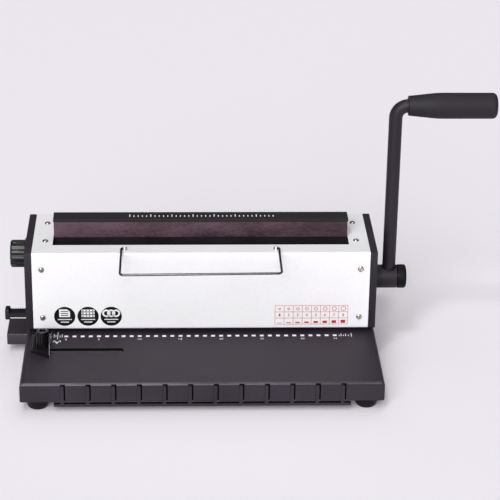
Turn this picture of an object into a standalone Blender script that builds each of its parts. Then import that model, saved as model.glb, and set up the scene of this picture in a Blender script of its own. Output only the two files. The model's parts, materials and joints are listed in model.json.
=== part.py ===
"""Manual binding machine: a bench punch and ring closer worked by one side lever.

Metres, Z up. X runs along the machine, Y from the user towards the back.
Sizes are given in the housing's own frame: X = 0 midway between the side plates,
Y = 0 on the front cover's face and Z = 0 on the bench. One empty shifts that frame,
so that the finished part stands with its box centred on the world origin.
"""

import math

import bmesh
import bpy
from mathutils import Matrix, Vector
from mathutils.geometry import delaunay_2d_cdt

# General clearances
seat_gap = 0.0003
cut_over = 0.0030
merge_distance = 0.000001
fill_scale = 1000.0

# Feet and base
foot_radius = 0.0119
foot_tread_radius = 0.0086
foot_height = 0.0112
foot_neck_radius = 0.0090
foot_neck_height = 0.0014
foot_side_inset = 0.0172
foot_front_inset = 0.0148
foot_rear_inset = 0.0150
base_side_reach = 0.0004
base_front_reach = 0.1107
base_rear_margin = 0.0040
apron_height = 0.0205
base_wall = 0.0030
deck_thickness = 0.0030
base_side_radius = 0.0050
base_edge_fillet = 0.0022
base_inner_radius = 0.0040

# Ribbed front of the base
rib_count = 12
rib_end_gap = 0.0084
rib_width = 0.0036
rib_stand = 0.0006
rib_groove_width = 0.0016
rib_groove_depth = 0.0022
rib_top_drop = 0.0026
strip_end_inset = 0.0338
strip_height = 0.0028
strip_depth = 0.0040
strip_gap = 0.0022

# Edge guide slot in the deck
slot_place_y = -0.0386
slot_width = 0.0084
slot_side_inset = 0.0132
slot_length = 0.0890

# Housing
housing_inner_half = 0.1745
plate_thickness = 0.0073
housing_depth = 0.1020
housing_height = 0.0867
throat_height = 0.0046
throat_depth = 0.0380
plate_corner_radius = 0.0012
sheet_thickness = 0.0012
sheet_bend_radius = 0.0022
cover_hem_depth = 0.0080
top_seam_y = 0.0470
trough_front_y = 0.0210
trough_end_land = 0.0209

# Cover brackets and screws
bracket_width = 0.0140
bracket_thickness = 0.0020
bracket_bottom_lift = 0.0080
screw_head_radius = 0.0031
screw_head_height = 0.0016
screw_shank_radius = 0.0016
screw_shank_length = 0.0036
screw_hole_radius = 0.0020
front_screw_inset = 0.0100
front_screw_low = 0.0135
front_screw_high = 0.0684
top_screw_inset = 0.0130
top_screw_front_y = 0.0306
top_screw_rear_y = 0.0762
rear_screw_rise = 0.0440

# Lever
axle_y = 0.0450
axle_rise = 0.0388
axle_radius = 0.0070
axle_left_stand = 0.0010
axle_right_stand = 0.0302
bush_wall = 0.0020
bush_flange_radius = 0.0110
bush_flange_thickness = 0.0013
hub_radius = 0.0123
hub_length = 0.0249
hub_edge = 0.0008
hub_cap_gap = 0.0006
hub_cap_radius = 0.0125
hub_cap_length = 0.0097
hub_cap_fillet = 0.0026
hub_cap_crown = 0.0006
tube_radius = 0.0069
tube_stand = 0.0169
tube_bend_radius = 0.0130
arm_length = 0.1921
grip_over_bend = 0.0007
grip_length = 0.0910
grip_neck_radius = 0.0102
grip_radius = 0.0133
grip_taper_length = 0.0300
grip_shoulder_length = 0.0060
grip_end_fillet = 0.0048
grip_end_wall = 0.0040
lever_swing_degrees = 85.0

# Punch drive
punch_travel = 0.0075
punch_cam_radius = 0.0145
punch_cam_width = 0.0080
punch_cam_inset = 0.0425
yoke_clearance = 0.0004
yoke_thickness = 0.0060
yoke_overhang = 0.0050

# Punch and die
hole_row_end_land = 0.0325
hole_pitch = 0.0254 / 3
hole_row_y = 0.0245
hole_row_shift = 0.0005
pin_size = 0.0039
pin_hole_clearance = 0.00015
pin_recess = 0.0006
guide_plate_thickness = 0.0050
guide_plate_front_y = 0.0150
die_end_gap = 0.0025
die_front_y = 0.0140
die_thickness = 0.0080
die_drop = 0.0001
punch_bar_front_y = 0.0190
punch_bar_depth = 0.0110
punch_bar_height = 0.0091
punch_bar_lift = 0.0114
punch_bar_end_gap = 0.0235
post_radius = 0.0035
post_inset = 0.0280
post_height = 0.0280

# Closer
press_travel = 0.0120
press_cam_radius = 0.0180
press_cam_width = 0.0080
press_cam_inset = 0.0150
fork_clearance = 0.0005
fork_thickness = 0.0055
fork_foot_drop = 0.0040
press_web_front_y = 0.0415
press_web_thickness = 0.0050
press_rise = 0.0177
press_flange_front_y = 0.0395
press_flange_depth = 0.0191
press_flange_thickness = 0.0030
press_end_gap = 0.0006
press_flange_overhang = 0.0005
lug_drop = 0.0063
lug_reach_gap = 0.0028
magnet_thickness = 0.0013
magnet_end_gap = 0.0012
jaw_face_y = 0.0220
jaw_thickness = 0.0060
jaw_bottom_drop = 0.0133
jaw_end_drop = 0.0038
floor_rear_y = 0.0600
floor_drop = 0.0149
floor_thickness = 0.0024
rail_length = 0.0320
rail_front_y = 0.0235
rail_inner_reach = 0.0072
rail_lip = 0.0023

# Return spring and stop
spring_wire_radius = 0.0008
spring_inner_radius = 0.0078
spring_turns = 3.5
spring_pitch = 0.0019
spring_leg_length = 0.0260
spring_pin_radius = 0.0025
spring_pin_length = 0.0085
stop_plate_thickness = 0.0060
stop_ring_radius = 0.0115
stop_finger_radius = 0.0200
stop_finger_width = 0.0060
stop_stud_radius = 0.0030
stop_finger_degrees = -54.0
stop_stud_ring = 0.0175

# Size selector
selector_y = 0.0580
selector_rise = 0.0604
selector_shaft_radius = 0.0040
selector_cam_radius = 0.0085
selector_cam_step = 0.0006
selector_cam_steps = 7
selector_cam_width = 0.0050
selector_cam_shares = (0.04, 0.5, 0.96)
dial_radius = 0.0167
dial_thickness = 0.0024
knob_radius = 0.0145
knob_length = 0.0152
knob_flutes = 12
knob_flute_depth = 0.0011
knob_edge = 0.0022
knob_bore_depth = 0.0110

# Chip tray and its runners
tray_stand = 0.0222
tray_inner_gap = 0.0245
tray_front_y = 0.0184
tray_depth = 0.0376
tray_bottom = 0.0093
tray_height = 0.0127
tray_wall = 0.0015
tray_handle_length = 0.0235
tray_edge = 0.0010
runner_web = 0.0026
runner_lip = 0.0028
runner_lip_thickness = 0.0010
runner_overlap = 0.0015

# Margin slide and back stop
margin_stand = 0.0230
margin_tip_thickness = 0.0052
margin_tip_height = 0.0115
margin_tip_drop = 0.0030
margin_front_y = 0.0150
margin_depth = 0.0120
margin_rise = 0.0064
margin_height = 0.0052
margin_blade_thickness = 0.0020
margin_blade_inset = 0.0008
margin_bar_reach = 0.0025
margin_blade_reach = 0.0200
margin_arm_near_reach = 0.0125
margin_arm_far_reach = 0.0300
margin_arm_front_y = 0.0286
margin_arm_rear_y = 0.0400
margin_travel = 0.0090
margin_grooves = 6
margin_groove_width = 0.0012
margin_groove_depth = 0.0007
stop_bar_travel = 0.0030
stop_bar_front_y = 0.0310
stop_bar_depth = 0.0030
stop_bar_end_gap = 0.0095
stop_bar_air = 0.0005
stop_pin_reach = 0.0170
stop_pin_y = 0.0325
stop_pin_radius = 0.0020
stop_pin_height = 0.0090

# Edge guide
guide_side_inset = 0.0070
guide_width = 0.0192
guide_front_y = -0.0556
guide_rear_y = -0.0310
guide_thickness = 0.0049
guide_corner = 0.0018
guide_front_slant = 0.0115
guide_tab_inset = 0.0024
guide_tab_width = 0.0040
guide_tab_height = 0.0148
guide_tab_front_y = -0.0438
guide_tab_depth = 0.0034
guide_screw_inset = 0.0127
guide_screw_radius = 0.0022
guide_knob_radius = 0.0061
guide_knob_height = 0.0176
guide_knob_flutes = 12
guide_knob_flute_depth = 0.0005
guide_knob_socket_radius = 0.0034
guide_knob_socket_depth = 0.0040
guide_nut_radius = 0.0065
guide_nut_thickness = 0.0030
fence_thickness = 0.0010
fence_front_y = -0.0530
fence_peak_y = -0.0330
fence_rear_y = -0.0040
fence_peak_height = 0.0150
fence_tail_height = 0.0036
fence_nose_height = 0.0040

# Wire holder
rod_radius = 0.00125
rod_arm_x = 0.0812
holder_middle_x = -0.0012
rod_pivot_y = 0.0090
rod_reach = 0.0630
rod_corner_radius = 0.0042
rod_inner_tip_x = 0.0755
ear_place_x = 0.0778
ear_thickness = 0.0016
ear_depth = 0.0050
ear_height = 0.0040
ear_corner = 0.0006
ear_hole_clearance = 0.0004

# Rear tie bar
tie_radius = 0.0050
tie_rear_inset = 0.0140
tie_rise = 0.0250

# Levels and places worked out from the sizes above
apron_bottom = foot_height + seat_gap
base_top = apron_bottom + apron_height
housing_bottom = base_top + throat_height
housing_top = housing_bottom + housing_height
plate_outer_x = housing_inner_half + plate_thickness
cover_half_length = housing_inner_half - seat_gap
base_half_width = plate_outer_x + base_side_reach
base_rear_reach = housing_depth + base_rear_margin
foot_place_x = base_half_width - foot_side_inset
strip_half_length = base_half_width - strip_end_inset
rib_first_x = rib_end_gap - strip_half_length
rib_pitch = -2 * rib_first_x / (rib_count - 1)
slot_left_x = slot_side_inset - base_half_width
slot_right_x = slot_left_x + slot_length
trough_half_length = housing_inner_half - trough_end_land
front_screw_x = housing_inner_half - front_screw_inset
top_screw_x = housing_inner_half - top_screw_inset
axle_tip_x = plate_outer_x + axle_right_stand
tube_place_x = plate_outer_x + tube_stand
grip_start_x = tube_place_x + tube_bend_radius - grip_over_bend
punch_cam_x = housing_inner_half - punch_cam_inset
press_cam_x = housing_inner_half - press_cam_inset
hole_count = 1 + int(2 * (housing_inner_half - hole_row_end_land) / hole_pitch)
die_half_length = housing_inner_half - die_end_gap
punch_bar_half_length = housing_inner_half - punch_bar_end_gap
post_place_x = housing_inner_half - post_inset
press_half_length = trough_half_length - press_end_gap
magnet_half_length = trough_half_length - magnet_end_gap
jaw_half_length = trough_half_length - press_end_gap
tray_end_x = -plate_outer_x - tray_stand
tray_inner_end_x = housing_inner_half - tray_inner_gap
runner_half_length = housing_inner_half + runner_overlap
margin_tip_x = -plate_outer_x - margin_stand
margin_inner_x = margin_bar_reach - housing_inner_half
margin_blade_x = margin_blade_reach - housing_inner_half
margin_arm_left_x = margin_arm_near_reach - housing_inner_half
margin_arm_right_x = margin_arm_far_reach - housing_inner_half
stop_bar_half_length = housing_inner_half - stop_bar_end_gap
stop_pin_x = stop_pin_reach - housing_inner_half
guide_left_x = guide_side_inset - base_half_width
guide_right_x = guide_left_x + guide_width
guide_screw_x = guide_left_x + guide_screw_inset
axle_z = housing_bottom + axle_rise
selector_z = housing_bottom + selector_rise
deck_under = base_top - deck_thickness
base_front_y = -base_front_reach
strip_bottom = apron_bottom - strip_gap - strip_height
grip_end_x = grip_start_x + grip_length
rear_edge_y = base_rear_reach
tie_y = housing_depth - tie_rear_inset
front_edge_y = base_front_y - rib_stand
frame_shift_x = -(grip_end_x + margin_tip_x) / 2
frame_shift_y = -(rear_edge_y + front_edge_y) / 2
half_swing = math.radians(lever_swing_degrees) / 2
punch_throw = punch_travel / (2 * math.sin(half_swing))
press_throw = press_travel / (2 * math.sin(half_swing))


def clear_scene():
    for old in list(bpy.data.objects):
        bpy.data.objects.remove(old, do_unlink=True)


def make_collection(name, hidden):
    collection = bpy.data.collections.new(name)
    bpy.context.scene.collection.children.link(collection)
    collection.hide_render = hidden
    return collection


clear_scene()
parts = make_collection("binding_machine", False)
cutters = make_collection("cutters", True)


def make_material(name, colour, roughness, metallic=0.0, alpha=1.0):
    material = bpy.data.materials.new(name)
    material.use_nodes = True
    shader = material.node_tree.nodes["Principled BSDF"]
    shader.inputs["Base Color"].default_value = (*colour, 1.0)
    shader.inputs["Roughness"].default_value = roughness
    shader.inputs["Metallic"].default_value = metallic
    shader.inputs["Alpha"].default_value = alpha
    material.diffuse_color = (*colour, alpha)
    return material


white_paint = make_material("white_paint", (0.88, 0.88, 0.89), 0.35)
black_paint = make_material("black_paint", (0.045, 0.040, 0.047), 0.55)
black_plastic = make_material("black_plastic", (0.060, 0.055, 0.062), 0.50)
gloss_plastic = make_material("gloss_plastic", (0.010, 0.010, 0.011), 0.18)
foam_rubber = make_material("foam_rubber", (0.040, 0.036, 0.041), 0.75)
foot_rubber = make_material("foot_rubber", (0.008, 0.008, 0.008), 0.35)
bright_steel = make_material("bright_steel", (0.60, 0.60, 0.61), 0.28, 1.0)
black_steel = make_material("black_steel", (0.030, 0.030, 0.033), 0.40, 0.6)
bronze = make_material("bronze", (0.50, 0.34, 0.17), 0.40, 1.0)
magnet_rubber = make_material("magnet_rubber", (0.095, 0.058, 0.070), 0.60)
clear_plastic = make_material("clear_plastic", (0.75, 0.78, 0.75), 0.10, 0.0, 0.35)


def make_body(name, pivot):
    """An empty on a joint's axis, which carries every piece of one moving body."""
    empty = bpy.data.objects.new(name, None)
    empty.empty_display_size = seat_gap
    parts.objects.link(empty)
    empty.location = pivot
    return empty


frame = make_body("machine_frame", (frame_shift_x, frame_shift_y, 0))


def moving_body(name, pivot):
    empty = make_body(name, pivot)
    empty.parent = frame
    return empty


fixed = moving_body("fixed_frame", (0, 0, 0))
lever = moving_body("lever_axis", (tube_place_x, axle_y, axle_z))
punch = moving_body("punch_axis", (0, hole_row_y, housing_bottom))
press = moving_body("press_axis", (0, press_web_front_y, housing_top))
selector = moving_body("selector_axis", (-plate_outer_x, selector_y, selector_z))
tray = moving_body("tray_axis", (tray_end_x, tray_front_y, tray_bottom))
margin = moving_body("margin_axis", (margin_tip_x, margin_front_y, housing_bottom))
stop_bar = moving_body("back_stop_axis", (0, stop_bar_front_y, base_top))
guide = moving_body("guide_axis", (guide_screw_x, slot_place_y, base_top))
clamp = moving_body("clamp_axis", (guide_screw_x, slot_place_y, base_top + guide_thickness))
holder = moving_body("holder_axis", (0, rod_pivot_y, housing_top + seat_gap + rod_radius))


def finish_object(obj, material, body, smooth=True):
    """Give a piece its material and hang it on its body, staying where it was built."""
    obj.data.materials.clear()
    obj.data.materials.append(material)
    if smooth:
        obj.data.shade_smooth()
        obj.data.set_sharp_from_angle(angle=math.radians(32))
    obj.parent = body
    obj.location = obj.location - body.location
    return obj


def link_mesh(name, mesh, place=(0, 0, 0), collection=None):
    obj = bpy.data.objects.new(name, mesh)
    (collection or parts).objects.link(obj)
    obj.location = place
    return obj


def mesh_of(bm, name):
    bmesh.ops.remove_doubles(bm, verts=bm.verts, dist=merge_distance)
    bmesh.ops.recalc_face_normals(bm, faces=bm.faces)
    mesh = bpy.data.meshes.new(name)
    bm.to_mesh(mesh)
    bm.free()
    return mesh


def box_into(bm, low, high):
    """Add one box between two corners to a bmesh."""
    low = Vector(low)
    high = Vector(high)
    size = high - low
    matrix = Matrix.Translation((low + high) / 2) @ Matrix.Diagonal((*size, 1))
    return bmesh.ops.create_cube(bm, size=1, matrix=matrix)["verts"]


def box(name, low, high, edge=0.0, collection=None):
    """A box between two corners, whose object sits at its centre."""
    centre = (Vector(low) + Vector(high)) / 2
    bm = bmesh.new()
    box_into(bm, Vector(low) - centre, Vector(high) - centre)
    if edge > 0:
        bmesh.ops.bevel(bm, geom=bm.edges[:], offset=edge, segments=2, profile=0.5,
                        affect='EDGES', material=-1)
    return link_mesh(name, mesh_of(bm, name), centre, collection)


def boxes(name, corners, collection=None):
    """Several boxes that don't meet, as one tool for a Boolean."""
    bm = bmesh.new()
    for low, high in corners:
        box_into(bm, low, high)
    return link_mesh(name, mesh_of(bm, name), (0, 0, 0), collection)


turns = {
    "X": Matrix.Rotation(math.radians(90), 4, 'Y'),
    "-X": Matrix.Rotation(math.radians(-90), 4, 'Y'),
    "Y": Matrix.Rotation(math.radians(-90), 4, 'X'),
    "-Y": Matrix.Rotation(math.radians(90), 4, 'X'),
    "Z": Matrix.Identity(4),
    "-Z": Matrix.Rotation(math.radians(180), 4, 'X'),
}


def cylinders(name, rods, sides=24, collection=None):
    """Round rods that don't meet: each is start, axis, length and radius."""
    bm = bmesh.new()
    for start, axis, length, radius in rods:
        matrix = (Matrix.Translation(start) @ turns[axis]
                  @ Matrix.Translation((0, 0, length / 2)))
        bmesh.ops.create_cone(bm, cap_ends=True, segments=sides, radius1=radius,
                              radius2=radius, depth=length, matrix=matrix)
    return link_mesh(name, mesh_of(bm, name), (0, 0, 0), collection)


def turned(name, profile, start, axis, sides=32):
    """A turned piece: profile is (radius, height) from its top down the outer side."""
    bm = bmesh.new()
    points = [bm.verts.new((radius, 0, height)) for radius, height in profile]
    for first, second in zip(points, points[1:]):
        bm.edges.new((first, second))
    if profile[0][0] > 0:
        bm.edges.new((points[-1], points[0]))
    mesh = bpy.data.meshes.new(name)
    bm.to_mesh(mesh)
    bm.free()
    obj = link_mesh(name, mesh)
    screw = obj.modifiers.new("turn", 'SCREW')
    screw.steps = sides
    screw.render_steps = sides
    screw.use_merge_vertices = True
    screw.merge_threshold = merge_distance
    screw.use_normal_calculate = True
    bake(obj)
    obj.data.transform(turns[axis])
    obj.location = start
    return obj


def bake(obj):
    """Apply an object's modifiers to its mesh."""
    bpy.context.view_layer.update()
    source = obj.evaluated_get(bpy.context.evaluated_depsgraph_get())
    mesh = bpy.data.meshes.new_from_object(source)
    bm = bmesh.new()
    bm.from_mesh(mesh)
    obj.modifiers.clear()
    old = obj.data
    obj.data = mesh_of(bm, obj.name)
    bpy.data.meshes.remove(mesh)
    if old.users == 0:
        bpy.data.meshes.remove(old)
    return obj


def mesh_from_curve(curve_object):
    """Turn a curve into a welded mesh object of the same name and place."""
    bpy.context.view_layer.update()
    name = curve_object.name
    source = curve_object.evaluated_get(bpy.context.evaluated_depsgraph_get())
    mesh = bpy.data.meshes.new_from_object(source)
    bm = bmesh.new()
    bm.from_mesh(mesh)
    bm.transform(curve_object.matrix_world)
    collection = curve_object.users_collection[0]
    bpy.data.objects.remove(curve_object, do_unlink=True)
    bpy.data.meshes.remove(mesh)
    return link_mesh(name, mesh_of(bm, name), (0, 0, 0), collection)


planes = {
    # a flat outline's own x and y, and the way its thickness runs
    "YZ": Matrix(((0, 0, 1, 0), (1, 0, 0, 0), (0, 1, 0, 0), (0, 0, 0, 1))),
    "XY": Matrix.Identity(4),
    "XZ": Matrix(((1, 0, 0, 0), (0, 0, -1, 0), (0, 1, 0, 0), (0, 0, 0, 1))),
}


def inside(point, loop):
    """Whether a point lies inside a closed outline."""
    crossings = 0
    for first, second in zip(loop, loop[1:] + loop[:1]):
        if (first[1] > point.y) != (second[1] > point.y):
            share = (point.y - first[1]) / (second[1] - first[1])
            if first[0] + share * (second[0] - first[0]) > point.x:
                crossings += 1
    return crossings % 2


def plate(name, loops, plane, start, end, collection=None):
    """A flat outline, with holes, that runs from start to end across its plane."""
    points = []
    borders = []
    for loop in loops:
        first = len(points)
        # filled at a large scale, where small steps in an outline stay exact
        points += [Vector(point) * fill_scale for point in loop]
        borders += [(first + index, first + (index + 1) % len(loop))
                    for index in range(len(loop))]
    filled = delaunay_2d_cdt(points, borders, [], 2, 1e-6)
    bm = bmesh.new()
    verts = [bm.verts.new((point.x / fill_scale, point.y / fill_scale, 0))
             for point in filled[0]]
    for face in filled[2]:
        middle = sum((verts[index].co for index in face), Vector()) / len(face)
        if sum(inside(middle, loop) for loop in loops) % 2 == 1:
            bm.faces.new([verts[index] for index in face])
    raised = bmesh.ops.extrude_face_region(bm, geom=bm.faces[:], use_keep_orig=True)["geom"]
    top = [item for item in raised if isinstance(item, bmesh.types.BMVert)]
    middle = (start + end) / 2
    half = abs(end - start) / 2
    bmesh.ops.translate(bm, verts=bm.verts, vec=(0, 0, -half))
    bmesh.ops.translate(bm, verts=top, vec=(0, 0, 2 * half))
    place = {"YZ": (middle, 0, 0), "XY": (0, 0, middle), "XZ": (0, middle, 0)}[plane]
    bm.transform(Matrix.Translation(place) @ planes[plane])
    return link_mesh(name, mesh_of(bm, name), (0, 0, 0), collection)


def circle(centre, radius, sides=32):
    points = []
    for step in range(sides):
        angle = 2 * math.pi * step / sides
        points.append((centre[0] + radius * math.cos(angle),
                       centre[1] + radius * math.sin(angle)))
    return points


def rectangle(left, right, low, high):
    return [(left, low), (right, low), (right, high), (left, high)]


def rounded(points, radius, steps=4):
    """Round every corner of a closed outline by the same radius."""
    result = []
    count = len(points)
    for index in range(count):
        corner = Vector(points[index])
        before = (Vector(points[index - 1]) - corner).normalized()
        after = (Vector(points[(index + 1) % count]) - corner).normalized()
        half = before.angle(after) / 2
        reach = radius / math.tan(half)
        centre = corner + (before + after).normalized() * radius / math.sin(half)
        first = corner + before * reach - centre
        turn = (corner + after * reach - centre).angle_signed(first)
        for step in range(steps + 1):
            point = centre + Matrix.Rotation(turn * step / steps, 2) @ first
            result.append((point.x, point.y))
    return result


def capsule(left, right, middle, radius, steps=8):
    """A slot outline with round ends."""
    points = []
    for step in range(steps + 1):
        angle = -math.pi / 2 + math.pi * step / steps
        points.append((right + radius * math.cos(angle), middle + radius * math.sin(angle)))
    for step in range(steps + 1):
        angle = math.pi / 2 + math.pi * step / steps
        points.append((left + radius * math.cos(angle), middle + radius * math.sin(angle)))
    return points


def fluted(radius, depth, count, steps=6):
    """A round outline with scalloped flutes."""
    points = []
    total = count * steps
    for step in range(total):
        angle = 2 * math.pi * step / total
        share = 0.5 - 0.5 * math.cos(count * angle)
        reach = radius - depth * share ** 2
        points.append((reach * math.cos(angle), reach * math.sin(angle)))
    return points


def tube(name, points, radius, sides, closed_caps=True):
    """A round rod along a list of points."""
    curve = bpy.data.curves.new(name, 'CURVE')
    curve.dimensions = '3D'
    curve.bevel_depth = radius
    curve.bevel_resolution = sides // 2 - 2
    curve.use_fill_caps = closed_caps
    spline = curve.splines.new('POLY')
    spline.points.add(len(points) - 1)
    for point, place in zip(spline.points, points):
        point.co = (*place, 1)
    obj = bpy.data.objects.new(name, curve)
    parts.objects.link(obj)
    return mesh_from_curve(obj)


def arc(centre, start_side, end_side, radius, steps):
    """Points of a quarter bend between two unit directions from its centre."""
    points = []
    for step in range(steps + 1):
        angle = math.pi / 2 * step / steps
        side = Vector(start_side) * math.cos(angle) + Vector(end_side) * math.sin(angle)
        points.append(Vector(centre) + side * radius)
    return points


def cut(obj, tool, operation='DIFFERENCE'):
    """Cut or join an object by a tool, which is kept hidden among the cutters."""
    if tool.name not in cutters.objects:
        for collection in list(tool.users_collection):
            collection.objects.unlink(tool)
        cutters.objects.link(tool)
    tool.hide_render = True
    tool.display_type = 'WIRE'
    modifier = obj.modifiers.new(operation.lower(), 'BOOLEAN')
    modifier.operation = operation
    modifier.solver = 'EXACT'
    modifier.object = tool
    return bake(obj)


def mirror_pair(make):
    """Make the left and the right one of a pair: -1 is left and 1 is right."""
    return [make("left", -1), make("right", 1)]


def span(side, near, far):
    """A stretch along X on one side of the machine, low end first."""
    return (near, far) if side > 0 else (-far, -near)


def make_base():
    """Moulded table: deck, apron with ribs, tray runners and foot bosses."""
    bm = bmesh.new()
    front = bm.faces.new([bm.verts.new((x, base_front_y, z)) for x, z in base_section()])
    raised = bmesh.ops.extrude_face_region(bm, geom=[front])["geom"]
    rear = [item for item in raised if isinstance(item, bmesh.types.BMVert)]
    bmesh.ops.translate(bm, verts=rear, vec=(0, rear_edge_y - base_front_y, 0))
    rims = [edge for edge in bm.edges
            if edge.verts[0].co.y == edge.verts[1].co.y
            and max(vert.co.z for vert in edge.verts) > apron_bottom + seat_gap]
    bmesh.ops.bevel(bm, geom=rims, offset=base_edge_fillet, segments=3, profile=0.5,
                    affect='EDGES', material=-1)
    base = link_mesh("base", mesh_of(bm, "base"))
    inner_x = base_half_width - base_wall
    hollow = plate("base_hollow",
                   [rounded(rectangle(-inner_x, inner_x, base_front_y + base_wall,
                                      rear_edge_y - base_wall),
                            base_inner_radius, 4)],
                   "XY", apron_bottom - cut_over, deck_under)
    cut(base, hollow)
    window = box("die_window", (-die_half_length - seat_gap, die_front_y - seat_gap,
                                deck_under - cut_over),
                 (die_half_length + seat_gap, throat_depth + seat_gap, base_top + cut_over))
    cut(base, window)
    half_slot = slot_width / 2
    slot = plate("guide_slot", [capsule(slot_left_x + half_slot, slot_right_x - half_slot,
                                        slot_place_y, half_slot)],
                 "XY", deck_under - cut_over, base_top + cut_over)
    cut(base, slot)
    mouth = box("tray_mouth", (-base_half_width - cut_over, tray_front_y - seat_gap,
                               apron_bottom - cut_over),
                (-inner_x + cut_over, tray_front_y + tray_depth + seat_gap,
                 tray_bottom + tray_height + seat_gap))
    cut(base, mouth)
    cut(base, make_rib_pockets())
    cut(base, make_runners(), 'UNION')
    bosses = cylinders("foot_bosses",
                       [((side * foot_place_x, y, apron_bottom), "Z",
                         apron_height - deck_thickness / 2, foot_neck_radius)
                        for side in (-1, 1) for y in foot_rows()], 16)
    cut(base, bosses, 'UNION')
    cut(base, make_rib_comb(), 'UNION')
    finish_object(base, black_plastic, fixed)


def base_section():
    """The table's outline from the front: square below, round along its upper sides."""
    points = [(-base_half_width, apron_bottom), (base_half_width, apron_bottom)]
    for side, start in ((1, 0), (-1, math.pi / 2)):
        for step in range(6):
            angle = start + math.pi / 2 * step / 5
            points.append((side * (base_half_width - base_side_radius)
                           + base_side_radius * math.cos(angle),
                           base_top - base_side_radius + base_side_radius * math.sin(angle)))
    return points


def foot_rows():
    return (base_front_y + foot_front_inset, rear_edge_y - foot_rear_inset)


def rib_places():
    return [rib_first_x + rib_pitch * index for index in range(rib_count)]


def rib_top():
    return base_top - rib_top_drop


def make_rib_pockets():
    """A groove beside and above each rib."""
    half = rib_width / 2
    return boxes("rib_pockets",
                 [((x - half, base_front_y - cut_over, apron_bottom - cut_over),
                   (x + half + rib_groove_width, base_front_y + rib_groove_depth,
                    rib_top() + rib_groove_width)) for x in rib_places()])


def make_rib_comb():
    """The ribs and the low strip that joins their lower ends, as one comb."""
    half = rib_width / 2
    left = -strip_half_length
    right = strip_half_length
    strip_top = strip_bottom + strip_height
    points = [(left, strip_bottom), (right, strip_bottom), (right, strip_top)]
    for x in reversed(rib_places()):
        points.append((x + half, strip_top))
        for step in range(5):
            angle = math.pi * step / 4
            points.append((x + half * math.cos(angle),
                           rib_top() - half + half * math.sin(angle)))
        points.append((x - half, strip_top))
    points.append((left, strip_top))
    return plate("rib_comb", [points], "XZ", front_edge_y, front_edge_y + strip_depth)


def make_runners():
    """Two ledges under the deck that carry the chip tray."""
    lip_top = tray_bottom - seat_gap
    lip_bottom = lip_top - runner_lip_thickness
    front_y = tray_front_y - seat_gap
    rear_y = tray_front_y + tray_depth + seat_gap
    deck_hold = deck_under + deck_thickness / 2
    die_under = base_top - die_drop - die_thickness - seat_gap
    web_front = die_front_y - seat_gap - runner_web
    front = [(web_front, deck_hold), (web_front, lip_bottom),
             (front_y + runner_lip, lip_bottom), (front_y + runner_lip, lip_top),
             (front_y, lip_top), (front_y, die_under),
             (web_front + runner_web, die_under), (web_front + runner_web, deck_hold)]
    rear = [(rear_y, deck_hold), (rear_y, lip_top), (rear_y - runner_lip, lip_top),
            (rear_y - runner_lip, lip_bottom), (rear_y + runner_web, lip_bottom),
            (rear_y + runner_web, deck_hold)]
    return plate("tray_runners", [front, rear], "YZ", -runner_half_length, runner_half_length)


def make_feet():
    """Four rubber feet, domed towards the bench."""
    places = {"left": -foot_place_x, "right": foot_place_x}
    rows = dict(zip(("front", "rear"), foot_rows()))
    rim = foot_height - foot_neck_height
    profile = [(0, foot_height), (foot_neck_radius, foot_height), (foot_neck_radius, rim)]
    for step in range(5):
        angle = math.pi / 2 * step / 4
        radius = foot_tread_radius + (foot_radius - foot_tread_radius) * math.cos(angle)
        profile.append((radius, rim * (1 - math.sin(angle))))
    profile.append((0, 0))
    for row, y in rows.items():
        for side, x in places.items():
            foot = turned(f"foot_{row}_{side}", profile, (x, y, 0), "Z", 24)
            finish_object(foot, foot_rubber, fixed)


def plate_outline():
    """Side plate seen from the side, with the open throat at its lower front corner."""
    stand = base_top + seat_gap
    points = [(0, housing_bottom), (throat_depth, housing_bottom), (throat_depth, stand),
              (housing_depth, stand), (housing_depth, housing_top), (0, housing_top)]
    return rounded(points, plate_corner_radius, 2)


def make_side_plates():
    hole = axle_radius + seat_gap + bush_wall + seat_gap
    near = housing_inner_half
    far = plate_outer_x

    left_loops = [plate_outline(), circle((axle_y, axle_z), hole),
                  circle((selector_y, selector_z), selector_shaft_radius + seat_gap, 20),
                  rectangle(margin_front_y - seat_gap,
                            margin_front_y + margin_depth + seat_gap,
                            housing_bottom + margin_rise - seat_gap,
                            housing_bottom + margin_rise + margin_height + seat_gap)]
    left = plate("side_plate_left", left_loops, "YZ", -far, -near)
    angle = math.radians(stop_finger_degrees)
    angle -= (stop_finger_width / 2 + stop_stud_radius + seat_gap) / stop_stud_ring
    stud = cylinders("stop_stud",
                     [((-near - seat_gap, axle_y + stop_stud_ring * math.cos(angle),
                        axle_z + stop_stud_ring * math.sin(angle)),
                       "X", spring_pin_length, stop_stud_radius)], 16)
    cut(left, stud, 'UNION')
    finish_object(left, black_paint, fixed)

    right = plate("side_plate_right", [plate_outline(), circle((axle_y, axle_z), hole)],
                  "YZ", near, far)
    pin = cylinders("spring_pin",
                    [((near + seat_gap, *spring_pin_place()), "-X", spring_pin_length,
                      spring_pin_radius)], 16)
    cut(right, pin, 'UNION')
    finish_object(right, black_paint, fixed)


def spring_pin_place():
    """Where the fixed leg of the return spring rests, in Y and Z."""
    ring = spring_inner_radius + spring_wire_radius
    return (axle_y + ring - spring_wire_radius - spring_pin_radius - seat_gap,
            axle_z - spring_leg_length + spring_pin_radius)


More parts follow.
